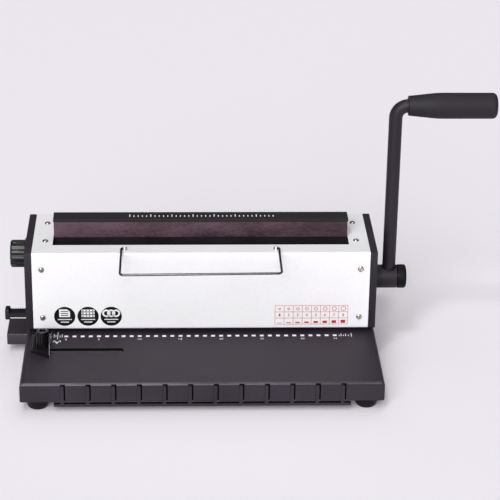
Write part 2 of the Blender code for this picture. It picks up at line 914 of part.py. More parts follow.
def sheet_outline(corners, thickness, bend):
    """A bent sheet's section: corners run along its outer face, the sheet lies to the
    right of them, and each inner corner is a bend."""
    outer = []
    inner = []
    count = len(corners)
    for index, corner in enumerate(corners):
        here = Vector(corner)
        ahead = Vector(corners[min(index + 1, count - 1)]) - here
        behind = here - Vector(corners[max(index - 1, 0)])
        if index == 0:
            behind = ahead
        if index == count - 1:
            ahead = behind
        ahead = ahead.normalized()
        behind = behind.normalized()
        side_behind = Vector((behind.y, -behind.x))
        side_ahead = Vector((ahead.y, -ahead.x))
        if index in (0, count - 1):
            outer.append(tuple(here))
            inner.append(tuple(here + side_ahead * thickness))
            continue
        centre = here - behind * bend + side_behind * bend
        for step in range(5):
            angle = math.pi / 2 * step / 4
            side = -side_behind * math.cos(angle) - side_ahead * math.sin(angle)
            outer.append(tuple(centre + side * bend))
            inner.append(tuple(centre + side * (bend - thickness)))
    return outer + inner[::-1]


def screw_places():
    """Every cover screw: name, place on the sheet and the way its head faces."""
    low = housing_bottom + front_screw_low
    high = housing_bottom + front_screw_high
    places = []
    for side, sign in (("left", -1), ("right", 1)):
        x = sign * front_screw_x
        places.append((f"front_screw_upper_{side}", (x, 0, high), "-Y"))
        places.append((f"front_screw_lower_{side}", (x, 0, low), "-Y"))
        x = sign * top_screw_x
        places.append((f"top_screw_front_{side}", (x, top_screw_front_y, housing_top), "Z"))
        places.append((f"top_screw_rear_{side}", (x, top_screw_rear_y, housing_top), "Z"))
        places.append((f"rear_screw_{side}",
                       (x, housing_depth, housing_bottom + rear_screw_rise), "Y"))
    return places


def make_screw_holes():
    """Rods through sheet and bracket at every cover screw."""
    depth = sheet_thickness + bracket_thickness + cut_over
    rods = []
    for name, place, facing in screw_places():
        way = turns[facing] @ Vector((0, 0, 1))
        start = Vector(place) - way * depth
        rods.append((start, facing, depth + cut_over, screw_hole_radius))
    return cylinders("screw_holes", rods, 8)


def make_covers():
    half = cover_half_length
    holes = make_screw_holes()
    hem = sheet_bend_radius
    front_path = [(cover_hem_depth, housing_bottom), (0, housing_bottom), (0, housing_top),
                  (top_seam_y - seat_gap / 2, housing_top)]
    front = plate("front_cover", [sheet_outline(front_path, sheet_thickness, hem)],
                  "YZ", -half, half)
    notch = box("trough_notch",
                (-trough_half_length, trough_front_y, housing_top - sheet_thickness - cut_over),
                (trough_half_length, top_seam_y + cut_over, housing_top + cut_over))
    cut(front, notch)
    cut(front, holes)
    cut(front, make_ears(), 'UNION')
    finish_object(front, white_paint, fixed)

    rear_path = [(top_seam_y + seat_gap / 2, housing_top), (housing_depth, housing_top),
                 (housing_depth, base_top + seat_gap)]
    rear = plate("rear_cover", [sheet_outline(rear_path, sheet_thickness, hem)],
                 "YZ", -half, half)
    cut(rear, holes)
    finish_object(rear, white_paint, fixed)

    inset = sheet_thickness + seat_gap
    bend = sheet_bend_radius + bracket_thickness
    path = [(inset, housing_bottom + bracket_bottom_lift), (inset, housing_top - inset),
            (housing_depth - inset, housing_top - inset),
            (housing_depth - inset, base_top + bracket_bottom_lift)]
    outline = sheet_outline(path, bracket_thickness, bend)

    def make_bracket(side, sign):
        start, end = span(sign, half - bracket_width, half)
        bracket = plate(f"cover_bracket_{side}", [outline], "YZ", start, end)
        cut(bracket, holes)
        return finish_object(bracket, bright_steel, fixed)

    mirror_pair(make_bracket)


def make_ears():
    """Two small lugs on the cover that hold the wire holder's ends."""
    sunk = housing_top - sheet_thickness / 2
    pivot_z = housing_top + seat_gap + rod_radius
    bm = bmesh.new()
    outline = rounded(rectangle(rod_pivot_y - ear_depth / 2, rod_pivot_y + ear_depth / 2,
                                sunk, housing_top + ear_height), ear_corner, 2)
    hole = circle((rod_pivot_y, pivot_z), rod_radius + ear_hole_clearance / 2, 12)
    for sign in (-1, 1):
        middle = holder_middle_x + sign * ear_place_x
        start = middle - ear_thickness / 2
        end = middle + ear_thickness / 2
        ear = plate("ear", [outline, hole], "YZ", start, end)
        bm.from_mesh(ear.data)
        bpy.data.objects.remove(ear, do_unlink=True)
    return link_mesh("holder_ears", mesh_of(bm, "holder_ears"))


def make_screws():
    """Dome headed screws."""
    profile = [(0, screw_head_height)]
    for step in range(1, 4):
        angle = math.pi / 2 * step / 3
        profile.append((screw_head_radius * math.sin(angle),
                        screw_head_height * math.cos(angle)))
    profile += [(screw_shank_radius, 0), (screw_shank_radius, -screw_shank_length),
                (0, -screw_shank_length)]
    for name, place, facing in screw_places():
        way = turns[facing] @ Vector((0, 0, 1))
        screw = turned(name, profile, Vector(place) + way * seat_gap, facing, 14)
        finish_object(screw, bright_steel, fixed)


def make_axle():
    """Lever shaft with its two bushes."""
    left_tip = -plate_outer_x - axle_left_stand
    shaft = cylinders("lever_shaft", [((left_tip, axle_y, axle_z), "X",
                                       axle_tip_x - left_tip, axle_radius)], 32)
    finish_object(shaft, bright_steel, lever)
    bore = axle_radius + seat_gap
    outer = bore + bush_wall

    def make_bush(side, sign):
        inner_face = housing_inner_half - seat_gap
        flange_face = inner_face - bush_flange_thickness
        # along the bush from its flange, inside, to the plate's outer face
        length = plate_outer_x - flange_face
        flange = inner_face - flange_face
        profile = [(bore, length), (outer, length), (outer, flange),
                   (bush_flange_radius, flange), (bush_flange_radius, 0), (bore, 0)]
        axis = "X" if sign > 0 else "-X"
        bush = turned(f"bush_{side}", profile, (sign * flange_face, axle_y, axle_z), axis, 24)
        return finish_object(bush, bronze, fixed)

    mirror_pair(make_bush)


def make_lever():
    """Hub, bent tube, grip and hub cap."""
    bore = axle_radius + seat_gap
    hub_start = plate_outer_x + 2 * seat_gap
    profile = [(bore, hub_length), (hub_radius - hub_edge, hub_length),
               (hub_radius, hub_length - hub_edge), (hub_radius, hub_edge),
               (hub_radius - hub_edge, 0), (bore, 0)]
    hub = turned("lever_hub", profile, (hub_start, axle_y, axle_z), "X", 32)
    socket = cylinders("tube_socket",
                       [((tube_place_x, axle_y, axle_z), "Z", hub_radius + cut_over,
                         tube_radius + seat_gap)], 24)
    cut(hub, socket)
    finish_object(hub, black_paint, lever)

    cap_start = hub_start + hub_length + hub_cap_gap
    hole_depth = axle_tip_x + seat_gap - cap_start
    shoulder = hub_cap_length - hub_cap_crown - hub_cap_fillet
    profile = [(0, hub_cap_length)]
    for step in range(5):
        angle = math.pi / 2 * step / 4
        profile.append((hub_cap_radius - hub_cap_fillet + hub_cap_fillet * math.sin(angle),
                        shoulder + hub_cap_fillet * math.cos(angle)))
    profile += [(hub_cap_radius, 0), (bore, 0), (bore, hole_depth), (0, hole_depth)]
    cap = turned("hub_cap", profile, (cap_start, axle_y, axle_z), "X", 32)
    finish_object(cap, black_paint, lever)

    top = axle_z + arm_length
    bend = tube_bend_radius
    points = [Vector((tube_place_x, axle_y, axle_z + axle_radius + seat_gap))]
    points += arc((tube_place_x + bend, axle_y, top - bend), (-1, 0, 0), (0, 0, 1), bend, 8)
    points.append(Vector((grip_end_x - grip_end_wall - seat_gap, axle_y, top)))
    arm = tube("lever_tube", points, tube_radius, 24)
    finish_object(arm, black_paint, lever)

    inside = tube_radius + seat_gap
    length = grip_length
    profile = [(0, length)]
    for step in range(5):
        angle = math.pi / 2 * step / 4
        profile.append((grip_radius - grip_end_fillet + grip_end_fillet * math.sin(angle),
                        length - grip_end_fillet + grip_end_fillet * math.cos(angle)))
    slope = (grip_radius - grip_neck_radius) / grip_taper_length
    for step in range(4):
        share = step / 3
        profile.append((grip_radius - slope * grip_shoulder_length * share ** 2,
                        grip_taper_length + grip_shoulder_length * (1 - 2 * share)))
    profile.append((grip_neck_radius, 0))
    profile += [(inside, 0), (inside, length - grip_end_wall), (0, length - grip_end_wall)]
    grip = turned("lever_grip", profile, (grip_start_x, axle_y, top), "X", 32)
    finish_object(grip, foam_rubber, lever)


def eccentric(name, middle_x, width, radius, throw, degrees, body):
    """A round disc whose centre stands off the shaft."""
    angle = math.radians(degrees)
    centre = (axle_y + throw * math.cos(angle), axle_z + throw * math.sin(angle))
    loops = [circle(centre, radius, 36), circle((axle_y, axle_z), axle_radius + seat_gap, 24)]
    disc = plate(name, loops, "YZ", middle_x - width / 2, middle_x + width / 2)
    finish_object(disc, black_steel, body)
    return centre


def make_punch_drive():
    """Two eccentrics that drive the punch bar up and down through closed yokes."""
    swing = lever_swing_degrees / 2
    for side, sign in (("left", -1), ("right", 1)):
        middle = sign * punch_cam_x
        centre = eccentric(f"punch_eccentric_{side}", middle, punch_cam_width,
                           punch_cam_radius, punch_throw, 180 - swing, lever)
        reach = punch_cam_radius + yoke_clearance
        low = centre[1] - reach
        high = centre[1] + reach
        front = axle_y - punch_throw - punch_cam_radius - 2 * yoke_clearance
        rear = centre[0] + yoke_overhang
        bar_top = punch_bar_top() + seat_gap
        bar_rear = punch_bar_front_y + punch_bar_depth + seat_gap
        outline = [(front - yoke_thickness, bar_top), (bar_rear, bar_top),
                   (bar_rear, low - yoke_thickness), (rear, low - yoke_thickness),
                   (rear, low), (front, low), (front, high), (rear, high),
                   (rear, high + yoke_thickness), (front - yoke_thickness, high + yoke_thickness)]
        half = punch_cam_width / 2
        yoke = plate(f"punch_yoke_{side}", [outline], "YZ", middle - half, middle + half)
        finish_object(yoke, black_steel, punch)


def punch_bar_bottom():
    return housing_bottom + guide_plate_thickness + punch_bar_lift


def punch_bar_top():
    return punch_bar_bottom() + punch_bar_height


def hole_places():
    first = -hole_row_shift - hole_pitch * (hole_count - 1) / 2
    return [first + hole_pitch * index for index in range(hole_count)]


def square_holes(size):
    half = size / 2
    return [rectangle(x - half, x + half, hole_row_y - half, hole_row_y + half)
            for x in hole_places()]


def make_punch():
    """Punch bar with its row of square pins, guide plate and die."""
    bottom = punch_bar_bottom()
    rear = punch_bar_front_y + punch_bar_depth
    half = punch_bar_half_length
    posts = [circle((sign * post_place_x, hole_row_y), post_radius + seat_gap, 20)
             for sign in (-1, 1)]
    bar = plate("punch_bar", [rectangle(-half, half, punch_bar_front_y, rear)] + posts,
                "XY", bottom, punch_bar_top())
    half_pin = pin_size / 2
    tip = housing_bottom + pin_recess
    pins = boxes("pins", [((x - half_pin, hole_row_y - half_pin, tip),
                           (x + half_pin, hole_row_y + half_pin, bottom + punch_bar_height / 2))
                          for x in hole_places()])
    cut(bar, pins, 'UNION')
    finish_object(bar, bright_steel, punch, smooth=False)

    hole = pin_size + 2 * pin_hole_clearance
    half = cover_half_length
    low = housing_bottom
    high = low + guide_plate_thickness
    notch_left = stop_pin_x - stop_pin_radius - seat_gap * 2
    notch_right = stop_pin_x + stop_pin_radius + seat_gap * 2
    notch_front = stop_pin_y - stop_pin_radius - seat_gap * 2
    outline = [(-half, guide_plate_front_y), (half, guide_plate_front_y), (half, throat_depth),
               (notch_right, throat_depth), (notch_right, notch_front),
               (notch_left, notch_front), (notch_left, throat_depth), (-half, throat_depth)]
    guide_plate = plate("punch_guide", [outline] + square_holes(hole), "XY", low, high)
    posts = cylinders("guide_posts", [((sign * post_place_x, hole_row_y,
                                        high - guide_plate_thickness / 2), "Z",
                                       post_height, post_radius) for sign in (-1, 1)], 20)
    cut(guide_plate, posts, 'UNION')
    finish_object(guide_plate, bright_steel, fixed, smooth=False)

    half = die_half_length
    outline = rectangle(-half, half, die_front_y, throat_depth)
    top = base_top - die_drop
    die = plate("die_plate", [outline] + square_holes(hole), "XY", top - die_thickness, top)
    finish_object(die, bright_steel, fixed, smooth=False)


def make_press_drive():
    """Two eccentrics that move the press bar to and fro through forks."""
    swing = lever_swing_degrees / 2
    for side, sign in (("left", -1), ("right", 1)):
        middle = sign * press_cam_x
        centre = eccentric(f"press_eccentric_{side}", middle, press_cam_width,
                           press_cam_radius, press_throw, 90 - swing, lever)
        reach = press_cam_radius + fork_clearance
        front = centre[0] - reach
        rear = centre[0] + reach
        inside = axle_z + press_throw + press_cam_radius + 2 * seat_gap
        top = floor_top()
        foot = centre[1] - fork_foot_drop
        outline = [(front - fork_thickness, foot), (front, foot), (front, inside),
                   (rear, inside), (rear, foot), (rear + fork_thickness, foot),
                   (rear + fork_thickness, top), (front - fork_thickness, top)]
        half = press_cam_width / 2
        fork = plate(f"press_fork_{side}", [outline], "YZ", middle - half, middle + half)
        finish_object(fork, black_steel, press)


def press_top():
    return housing_top + press_rise


def floor_top():
    return housing_top - floor_drop


def make_press_bar():
    """The moving closer bar: web, top flange, end lugs and the magnet strip on its face."""
    web_rear = press_web_front_y + press_web_thickness
    flange_rear = press_flange_front_y + press_flange_depth
    low = floor_top() + seat_gap
    high = press_top()
    lug_top = housing_top - lug_drop
    lug_reach = housing_inner_half - lug_reach_gap
    half = press_half_length
    web_top = high + press_flange_thickness / 2
    outline = [(-lug_reach, low), (lug_reach, low), (lug_reach, lug_top), (half, lug_top),
               (half, web_top), (-half, web_top), (-half, lug_top), (-lug_reach, lug_top)]
    bar = plate("press_bar", [outline], "XZ", press_web_front_y, web_rear)
    half += press_flange_overhang
    flange = box("press_flange", (-half, press_flange_front_y, high),
                 (half, flange_rear, high + press_flange_thickness))
    cut(bar, flange, 'UNION')
    finish_object(bar, black_steel, press, smooth=False)

    rear = press_web_front_y - seat_gap
    strip = box("magnet_strip", (-magnet_half_length, rear - magnet_thickness,
                                 housing_top + seat_gap),
                (magnet_half_length, rear, high - seat_gap), seat_gap / 2)
    finish_object(strip, magnet_rubber, press)

    def make_rail(side, sign):
        """Channel on the side plate in which the bar's lug runs."""
        far = housing_inner_half - seat_gap
        near = far - rail_inner_reach
        groove_low = low - seat_gap
        groove_high = lug_top + seat_gap
        back = far - (lug_reach_gap - 2 * seat_gap)
        points = [(near, groove_low - rail_lip), (far, groove_low - rail_lip),
                  (far, groove_high + rail_lip), (near, groove_high + rail_lip),
                  (near, groove_high), (back, groove_high), (back, groove_low),
                  (near, groove_low)]
        outline = [(sign * x, z) for x, z in points]
        rail = plate(f"press_rail_{side}", [outline], "XZ", rail_front_y,
                     rail_front_y + rail_length)
        return finish_object(rail, bright_steel, fixed, smooth=False)

    mirror_pair(make_rail)


def make_jaw():
    """The fixed front jaw and the floor of the closing trough."""
    front = jaw_face_y - jaw_thickness
    low = housing_top - jaw_bottom_drop
    sheet_under = housing_top - sheet_thickness - seat_gap
    jaw = box("fixed_jaw", (-jaw_half_length, front, low),
              (jaw_half_length, jaw_face_y, sheet_under))
    beam = box("jaw_beam", (-cover_half_length, front, low),
               (cover_half_length, jaw_face_y, housing_top - jaw_end_drop))
    cut(jaw, beam, 'UNION')
    finish_object(jaw, black_steel, fixed, smooth=False)
    top = floor_top()
    outline = [(front, top - floor_thickness), (floor_rear_y, top - floor_thickness),
               (floor_rear_y, top), (jaw_face_y, top), (jaw_face_y, low - seat_gap),
               (front, low - seat_gap)]
    floor = plate("trough_floor", [outline], "YZ", -jaw_half_length, jaw_half_length)
    finish_object(floor, black_steel, fixed, smooth=False)


def make_return_spring():
    """Torsion spring round the shaft: one leg rests on the plate's pin."""
    ring = spring_inner_radius + spring_wire_radius
    start_x = housing_inner_half - bush_flange_thickness - 3 * seat_gap - spring_wire_radius
    steps = int(spring_turns * 12)
    points = [Vector((start_x, axle_y + ring, axle_z - spring_leg_length))]
    for step in range(steps + 1):
        angle = 2 * math.pi * spring_turns * step / steps
        x = start_x - spring_pitch * spring_turns * step / steps
        points.append(Vector((x, axle_y + ring * math.cos(angle),
                              axle_z + ring * math.sin(angle))))
    spring = tube("return_spring", points, spring_wire_radius, 6)
    finish_object(spring, bright_steel, fixed)


def make_stop():
    """Stop plate on the shaft: its finger rests on the stud of the left side plate."""
    angle = math.radians(stop_finger_degrees)
    half = stop_finger_width / 2
    spread = math.asin(half / stop_ring_radius)
    points = []
    steps = 20
    for step in range(steps + 1):
        turn = angle + spread + (2 * math.pi - 2 * spread) * step / steps
        points.append((axle_y + stop_ring_radius * math.cos(turn),
                       axle_z + stop_ring_radius * math.sin(turn)))
    for side in (-1, 1):
        along = Vector((math.cos(angle), math.sin(angle))) * stop_finger_radius
        across = Vector((-math.sin(angle), math.cos(angle))) * half * side
        points.append((axle_y + along.x + across.x, axle_z + along.y + across.y))
    start = -(housing_inner_half - bush_flange_thickness - 3 * seat_gap)
    stop = plate("stop_plate", [points, circle((axle_y, axle_z), axle_radius + seat_gap)],
                 "YZ", start, start + stop_plate_thickness)
    finish_object(stop, black_steel, lever, smooth=False)


def make_selector():
    """Ring size selector: dial, fluted knob and a shaft with a stepped cam."""
    gap = seat_gap
    dial_near = plate_outer_x + gap
    dial = plate("selector_dial", [circle((selector_y, selector_z), dial_radius, 36),
                                   circle((selector_y, selector_z),
                                          selector_shaft_radius + gap, 16)],
                 "YZ", -dial_near - dial_thickness, -dial_near)
    finish_object(dial, black_paint, fixed)

    knob_near = dial_near + dial_thickness + gap
    curve_outline = fluted(knob_radius, knob_flute_depth, knob_flutes, 5)
    bm = bmesh.new()
    face = bm.faces.new([bm.verts.new((x, y, 0)) for x, y in curve_outline])
    raised = bmesh.ops.extrude_face_region(bm, geom=[face])["geom"]
    top = [item for item in raised if isinstance(item, bmesh.types.BMVert)]
    bmesh.ops.translate(bm, verts=top, vec=(0, 0, knob_length))
    lid = [f for f in bm.faces if all(vert in top for vert in f.verts)]
    edges = list({edge for f in lid for edge in f.edges})
    bmesh.ops.bevel(bm, geom=edges, offset=knob_edge, segments=2, profile=0.5,
                    affect='EDGES', material=-1)
    knob = link_mesh("selector_knob", mesh_of(bm, "selector_knob"))
    bore = cylinders("knob_bore", [((0, 0, -cut_over), "Z", knob_bore_depth + cut_over,
                                    selector_shaft_radius + gap)], 20)
    cut(knob, bore)
    knob.data.transform(turns["-X"])
    knob.location = (-knob_near, selector_y, selector_z)
    finish_object(knob, gloss_plastic, selector)

    inner_face = housing_inner_half - 2 * gap
    cam_inner = inner_face - selector_cam_width
    points = []
    for index in range(selector_cam_steps):
        reach = selector_cam_radius - selector_cam_step * (selector_cam_steps - 1 - index)
        for share in selector_cam_shares:
            angle = 2 * math.pi * (index + share) / selector_cam_steps
            points.append((selector_y + reach * math.cos(angle),
                           selector_z + reach * math.sin(angle)))
    cam = plate("selector_shaft", [points], "YZ", -inner_face, -cam_inner)
    rod_start = -cam_inner + gap
    rod_length = knob_near + knob_bore_depth - cam_inner
    rod = cylinders("selector_rod", [((rod_start, selector_y, selector_z), "-X",
                                      rod_length, selector_shaft_radius)], 20)
    cut(cam, rod, 'UNION')
    finish_object(cam, bright_steel, selector)


def make_tray():
    """Chip tray: an open box behind a solid handle end."""
    high = tray_bottom + tray_height
    rear = tray_front_y + tray_depth
    tray_box = box("chip_tray", (tray_end_x, tray_front_y, tray_bottom),
                   (tray_inner_end_x, rear, high), tray_edge)
    hollow = box("tray_hollow", (tray_end_x + tray_handle_length, tray_front_y + tray_wall,
                                 tray_bottom + tray_wall),
                 (tray_inner_end_x - tray_wall, rear - tray_wall, high + cut_over))
    cut(tray_box, hollow)
    finish_object(tray_box, black_plastic, tray)


def make_margin():
    """Margin slide with its pull end, and the back stop that it moves."""
    low = housing_bottom + margin_rise
    rear = margin_front_y + margin_depth
    start = margin_tip_x + margin_tip_thickness / 2
    blade_front = margin_front_y + margin_blade_inset
    blade_rear = rear - margin_blade_inset
    blade_low = low + seat_gap
    blade_start = (start + margin_inner_x) / 2
    outline = [(blade_start, blade_front), (margin_blade_x, blade_front),
               (margin_blade_x, margin_arm_front_y), (margin_arm_right_x, margin_arm_front_y),
               (margin_arm_right_x, margin_arm_rear_y), (margin_arm_left_x, margin_arm_rear_y),
               (margin_arm_left_x, blade_rear), (blade_start, blade_rear)]
    # the slot slants, so that the slide's travel moves the pin to the rear
    path = Vector((margin_travel, stop_bar_travel))
    along = path.normalized()
    across = Vector((-along.y, along.x))
    radius = stop_pin_radius + seat_gap
    first = Vector((stop_pin_x, stop_pin_y))
    slot = []
    for centre, turn in ((first + path, 0), (first, math.pi)):
        for step in range(7):
            angle = turn - math.pi / 2 + math.pi * step / 6
            point = centre + (along * math.cos(angle) + across * math.sin(angle)) * radius
            slot.append((point.x, point.y))
    slide = plate("margin_slide", [outline, slot], "XY", blade_low,
                  blade_low + margin_blade_thickness)
    bar = box("margin_bar", (start, margin_front_y, low),
              (margin_inner_x, rear, low + margin_height))
    cut(slide, bar, 'UNION')
    tip = box("margin_tip", (margin_tip_x, margin_front_y, low - margin_tip_drop),
              (margin_tip_x + margin_tip_thickness, rear,
               low - margin_tip_drop + margin_tip_height), margin_tip_thickness / 4)
    cut(slide, tip, 'UNION')
    first_x = margin_tip_x + margin_tip_thickness + margin_groove_width
    grooves = boxes("margin_grooves",
                    [((first_x + 2 * index * margin_groove_width, margin_front_y - cut_over,
                       low + margin_height - margin_groove_depth),
                      (first_x + (2 * index + 1) * margin_groove_width, rear + cut_over,
                       low + margin_height + cut_over)) for index in range(margin_grooves)])
    cut(slide, grooves)
    finish_object(slide, gloss_plastic, margin, smooth=False)

    low = base_top + stop_bar_air
    high = housing_bottom - stop_bar_air
    back = box("back_stop", (-stop_bar_half_length, stop_bar_front_y, low),
               (stop_bar_half_length, stop_bar_front_y + stop_bar_depth, high))
    pin = cylinders("stop_pin", [((stop_pin_x, stop_pin_y, (low + high) / 2), "Z",
                                  stop_pin_height + (high - low) / 2, stop_pin_radius)], 16)
    cut(back, pin, 'UNION')
    finish_object(back, bright_steel, stop_bar, smooth=False)


def make_guide():
    """Paper edge guide: bracket, clear fence, clamp knob with its screw and nut."""
    low = base_top + seat_gap
    high = base_top + guide_thickness
    slanted = guide_front_y + guide_front_slant
    outline = [(guide_left_x + guide_corner, slanted), (guide_right_x, guide_front_y),
               (guide_right_x, guide_rear_y), (guide_left_x, guide_rear_y),
               (guide_left_x, slanted + guide_corner)]
    bracket = plate("guide_bracket", [outline], "XY", low, high)
    tab_left = guide_left_x + guide_tab_inset
    tab = box("guide_tab", (tab_left, guide_tab_front_y, (low + high) / 2),
              (tab_left + guide_tab_width, guide_tab_front_y + guide_tab_depth,
               high + guide_tab_height), guide_tab_width / 4)
    cut(bracket, tab, 'UNION')
    key = cylinders("guide_key", [((guide_screw_x, slot_place_y, deck_under), "Z",
                                   (low + high) / 2 - deck_under,
                                   slot_width / 2 - seat_gap)], 24)
    cut(bracket, key, 'UNION')
    hole = cylinders("guide_hole", [((guide_screw_x, slot_place_y, deck_under - cut_over), "Z",
                                     high - deck_under + 2 * cut_over,
                                     guide_screw_radius + seat_gap)], 16)
    cut(bracket, hole)
    finish_object(bracket, gloss_plastic, guide)

    start = guide_right_x + seat_gap
    points = [(fence_front_y, low), (fence_rear_y, low),
              (fence_rear_y, low + fence_tail_height),
              (fence_peak_y + (fence_rear_y - fence_peak_y) / 4, low + fence_tail_height),
              (fence_peak_y, low + fence_peak_height),
              (fence_peak_y - fence_tail_height, low + fence_peak_height),
              (fence_front_y, low + fence_nose_height)]
    fence = plate("guide_fence", [points], "YZ", start, start + fence_thickness)
    finish_object(fence, clear_plastic, guide)

    knob_low = high + seat_gap
    body = plate("guide_knob", [[(guide_screw_x + x, slot_place_y + y) for x, y in
                                 fluted(guide_knob_radius, guide_knob_flute_depth,
                                        guide_knob_flutes, 4)]],
                 "XY", knob_low, knob_low + guide_knob_height)
    socket = cylinders("knob_socket",
                       [((guide_screw_x, slot_place_y,
                          knob_low + guide_knob_height - guide_knob_socket_depth), "Z",
                         guide_knob_socket_depth + cut_over, guide_knob_socket_radius)], 20)
    cut(body, socket)
    nut_top = deck_under - seat_gap
    screw = cylinders("guide_screw",
                      [((guide_screw_x, slot_place_y, nut_top - guide_nut_thickness), "Z",
                        knob_low - nut_top + guide_nut_thickness + seat_gap,
                        guide_screw_radius)], 16)
    cut(body, screw, 'UNION')
    nut = cylinders("guide_nut", [((guide_screw_x, slot_place_y, nut_top - guide_nut_thickness),
                                   "Z", guide_nut_thickness, guide_nut_radius)], 20)
    cut(body, nut, 'UNION')
    finish_object(body, gloss_plastic, clamp)


def make_holder():
    """Wire holder: a U of round rod that turns in the two ears of the cover."""
    z = housing_top + seat_gap + rod_radius
    front = rod_pivot_y - rod_reach
    bend = rod_corner_radius
    small = 2 * rod_radius
    left = holder_middle_x - rod_arm_x
    right = holder_middle_x + rod_arm_x
    points = [Vector((holder_middle_x - rod_inner_tip_x, rod_pivot_y, z))]
    points += arc((left + small, rod_pivot_y - small, z), (0, 1, 0), (-1, 0, 0), small, 4)
    points += arc((left + bend, front + bend, z), (-1, 0, 0), (0, -1, 0), bend, 5)
    points += arc((right - bend, front + bend, z), (0, -1, 0), (1, 0, 0), bend, 5)
    points += arc((right - small, rod_pivot_y - small, z), (1, 0, 0), (0, 1, 0), small, 4)
    points.append(Vector((holder_middle_x + rod_inner_tip_x, rod_pivot_y, z)))
    rod = tube("wire_holder", points, rod_radius, 8)
    finish_object(rod, bright_steel, holder)


def make_tie_bar():
    """Round bar that ties the side plates at the rear."""
    bar = cylinders("rear_tie_bar", [((-cover_half_length, tie_y, housing_bottom + tie_rise),
                                      "X", 2 * cover_half_length, tie_radius)], 20)
    finish_object(bar, bright_steel, fixed)


make_base()
make_feet()
make_side_plates()
make_covers()
make_screws()
make_axle()
make_lever()
make_punch_drive()
make_punch()
make_press_drive()
make_press_bar()
make_jaw()
make_return_spring()
make_stop()
make_selector()
make_tray()
make_margin()
make_guide()
make_holder()
make_tie_bar()
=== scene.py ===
"""Studio scene of a manual wire binding machine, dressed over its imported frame.

Sizes are in millimetres from the housing's own zero: midway between the side plates, on
the front cover's face and on the bench. home_matrix turns them into the frame's metres.
"""

import json
import math

import bmesh
import bpy
from mathutils import Matrix, Vector

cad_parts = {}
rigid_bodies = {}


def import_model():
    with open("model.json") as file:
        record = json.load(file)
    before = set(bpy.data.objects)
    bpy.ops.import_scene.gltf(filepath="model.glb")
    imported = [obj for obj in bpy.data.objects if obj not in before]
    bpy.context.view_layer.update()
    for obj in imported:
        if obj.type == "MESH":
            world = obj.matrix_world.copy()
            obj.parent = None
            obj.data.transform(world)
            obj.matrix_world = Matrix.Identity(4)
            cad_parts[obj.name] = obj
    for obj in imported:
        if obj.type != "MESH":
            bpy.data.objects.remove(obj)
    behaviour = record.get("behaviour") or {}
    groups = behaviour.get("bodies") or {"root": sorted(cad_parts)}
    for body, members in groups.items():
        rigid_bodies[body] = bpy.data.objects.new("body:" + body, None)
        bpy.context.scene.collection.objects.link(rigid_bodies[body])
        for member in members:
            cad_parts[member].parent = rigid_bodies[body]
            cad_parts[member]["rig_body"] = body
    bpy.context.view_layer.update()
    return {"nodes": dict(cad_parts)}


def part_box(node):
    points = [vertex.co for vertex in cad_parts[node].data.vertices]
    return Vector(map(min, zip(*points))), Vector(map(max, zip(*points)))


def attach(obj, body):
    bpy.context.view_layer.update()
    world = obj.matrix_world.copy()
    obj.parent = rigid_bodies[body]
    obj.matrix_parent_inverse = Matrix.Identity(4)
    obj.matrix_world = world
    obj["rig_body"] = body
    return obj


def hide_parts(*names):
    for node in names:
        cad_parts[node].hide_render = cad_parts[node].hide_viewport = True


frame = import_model()

mm = 0.001
home = Vector(((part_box("side_plate_left")[0].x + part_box("side_plate_right")[1].x) / 2,
               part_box("front_cover")[0].y, 0))
home_matrix = Matrix.Translation(home) @ Matrix.Scale(mm, 4)


def ends(node):
    """A CAD node's lowest and highest corners, in millimetres from the housing's zero."""
    return [(corner - home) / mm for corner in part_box(node)]


# levels that several pieces share
deck = ends("base")[1].z
cover_top = ends("side_plate_left")[1].z
ink = 0.04
ink_lift = 0.006


# Materials

def colour(hex_text):
    """A linear colour from an sRGB hex value."""
    values = [int(hex_text[i:i + 2], 16) / 255 for i in (0, 2, 4)]
    linear = [v / 12.92 if v <= 0.04045 else ((v + 0.055) / 1.055) ** 2.4 for v in values]
    return (*linear, 1.0)


def add_node(tree, kind, inputs=None, **settings):
    """Add a node with its settings; inputs are values or the sockets linked to it."""
    made = tree.nodes.new(kind)
    for key, value in settings.items():
        setattr(made, key, value)
    for key, value in (inputs or {}).items():
        if isinstance(value, bpy.types.NodeSocket):
            tree.links.new(value, made.inputs[key])
        else:
            made.inputs[key].default_value = value
    return made


def new_material(name, **sockets):
    """A Principled material; sockets are set by name, with _ for a space."""
    material = bpy.data.materials.new(name)
    material.use_nodes = True
    tree = material.node_tree
    shader = tree.nodes["Principled BSDF"]
    for key, value in sockets.items():
        shader.inputs[key.replace("_", " ")].default_value = value
    return material, tree, shader


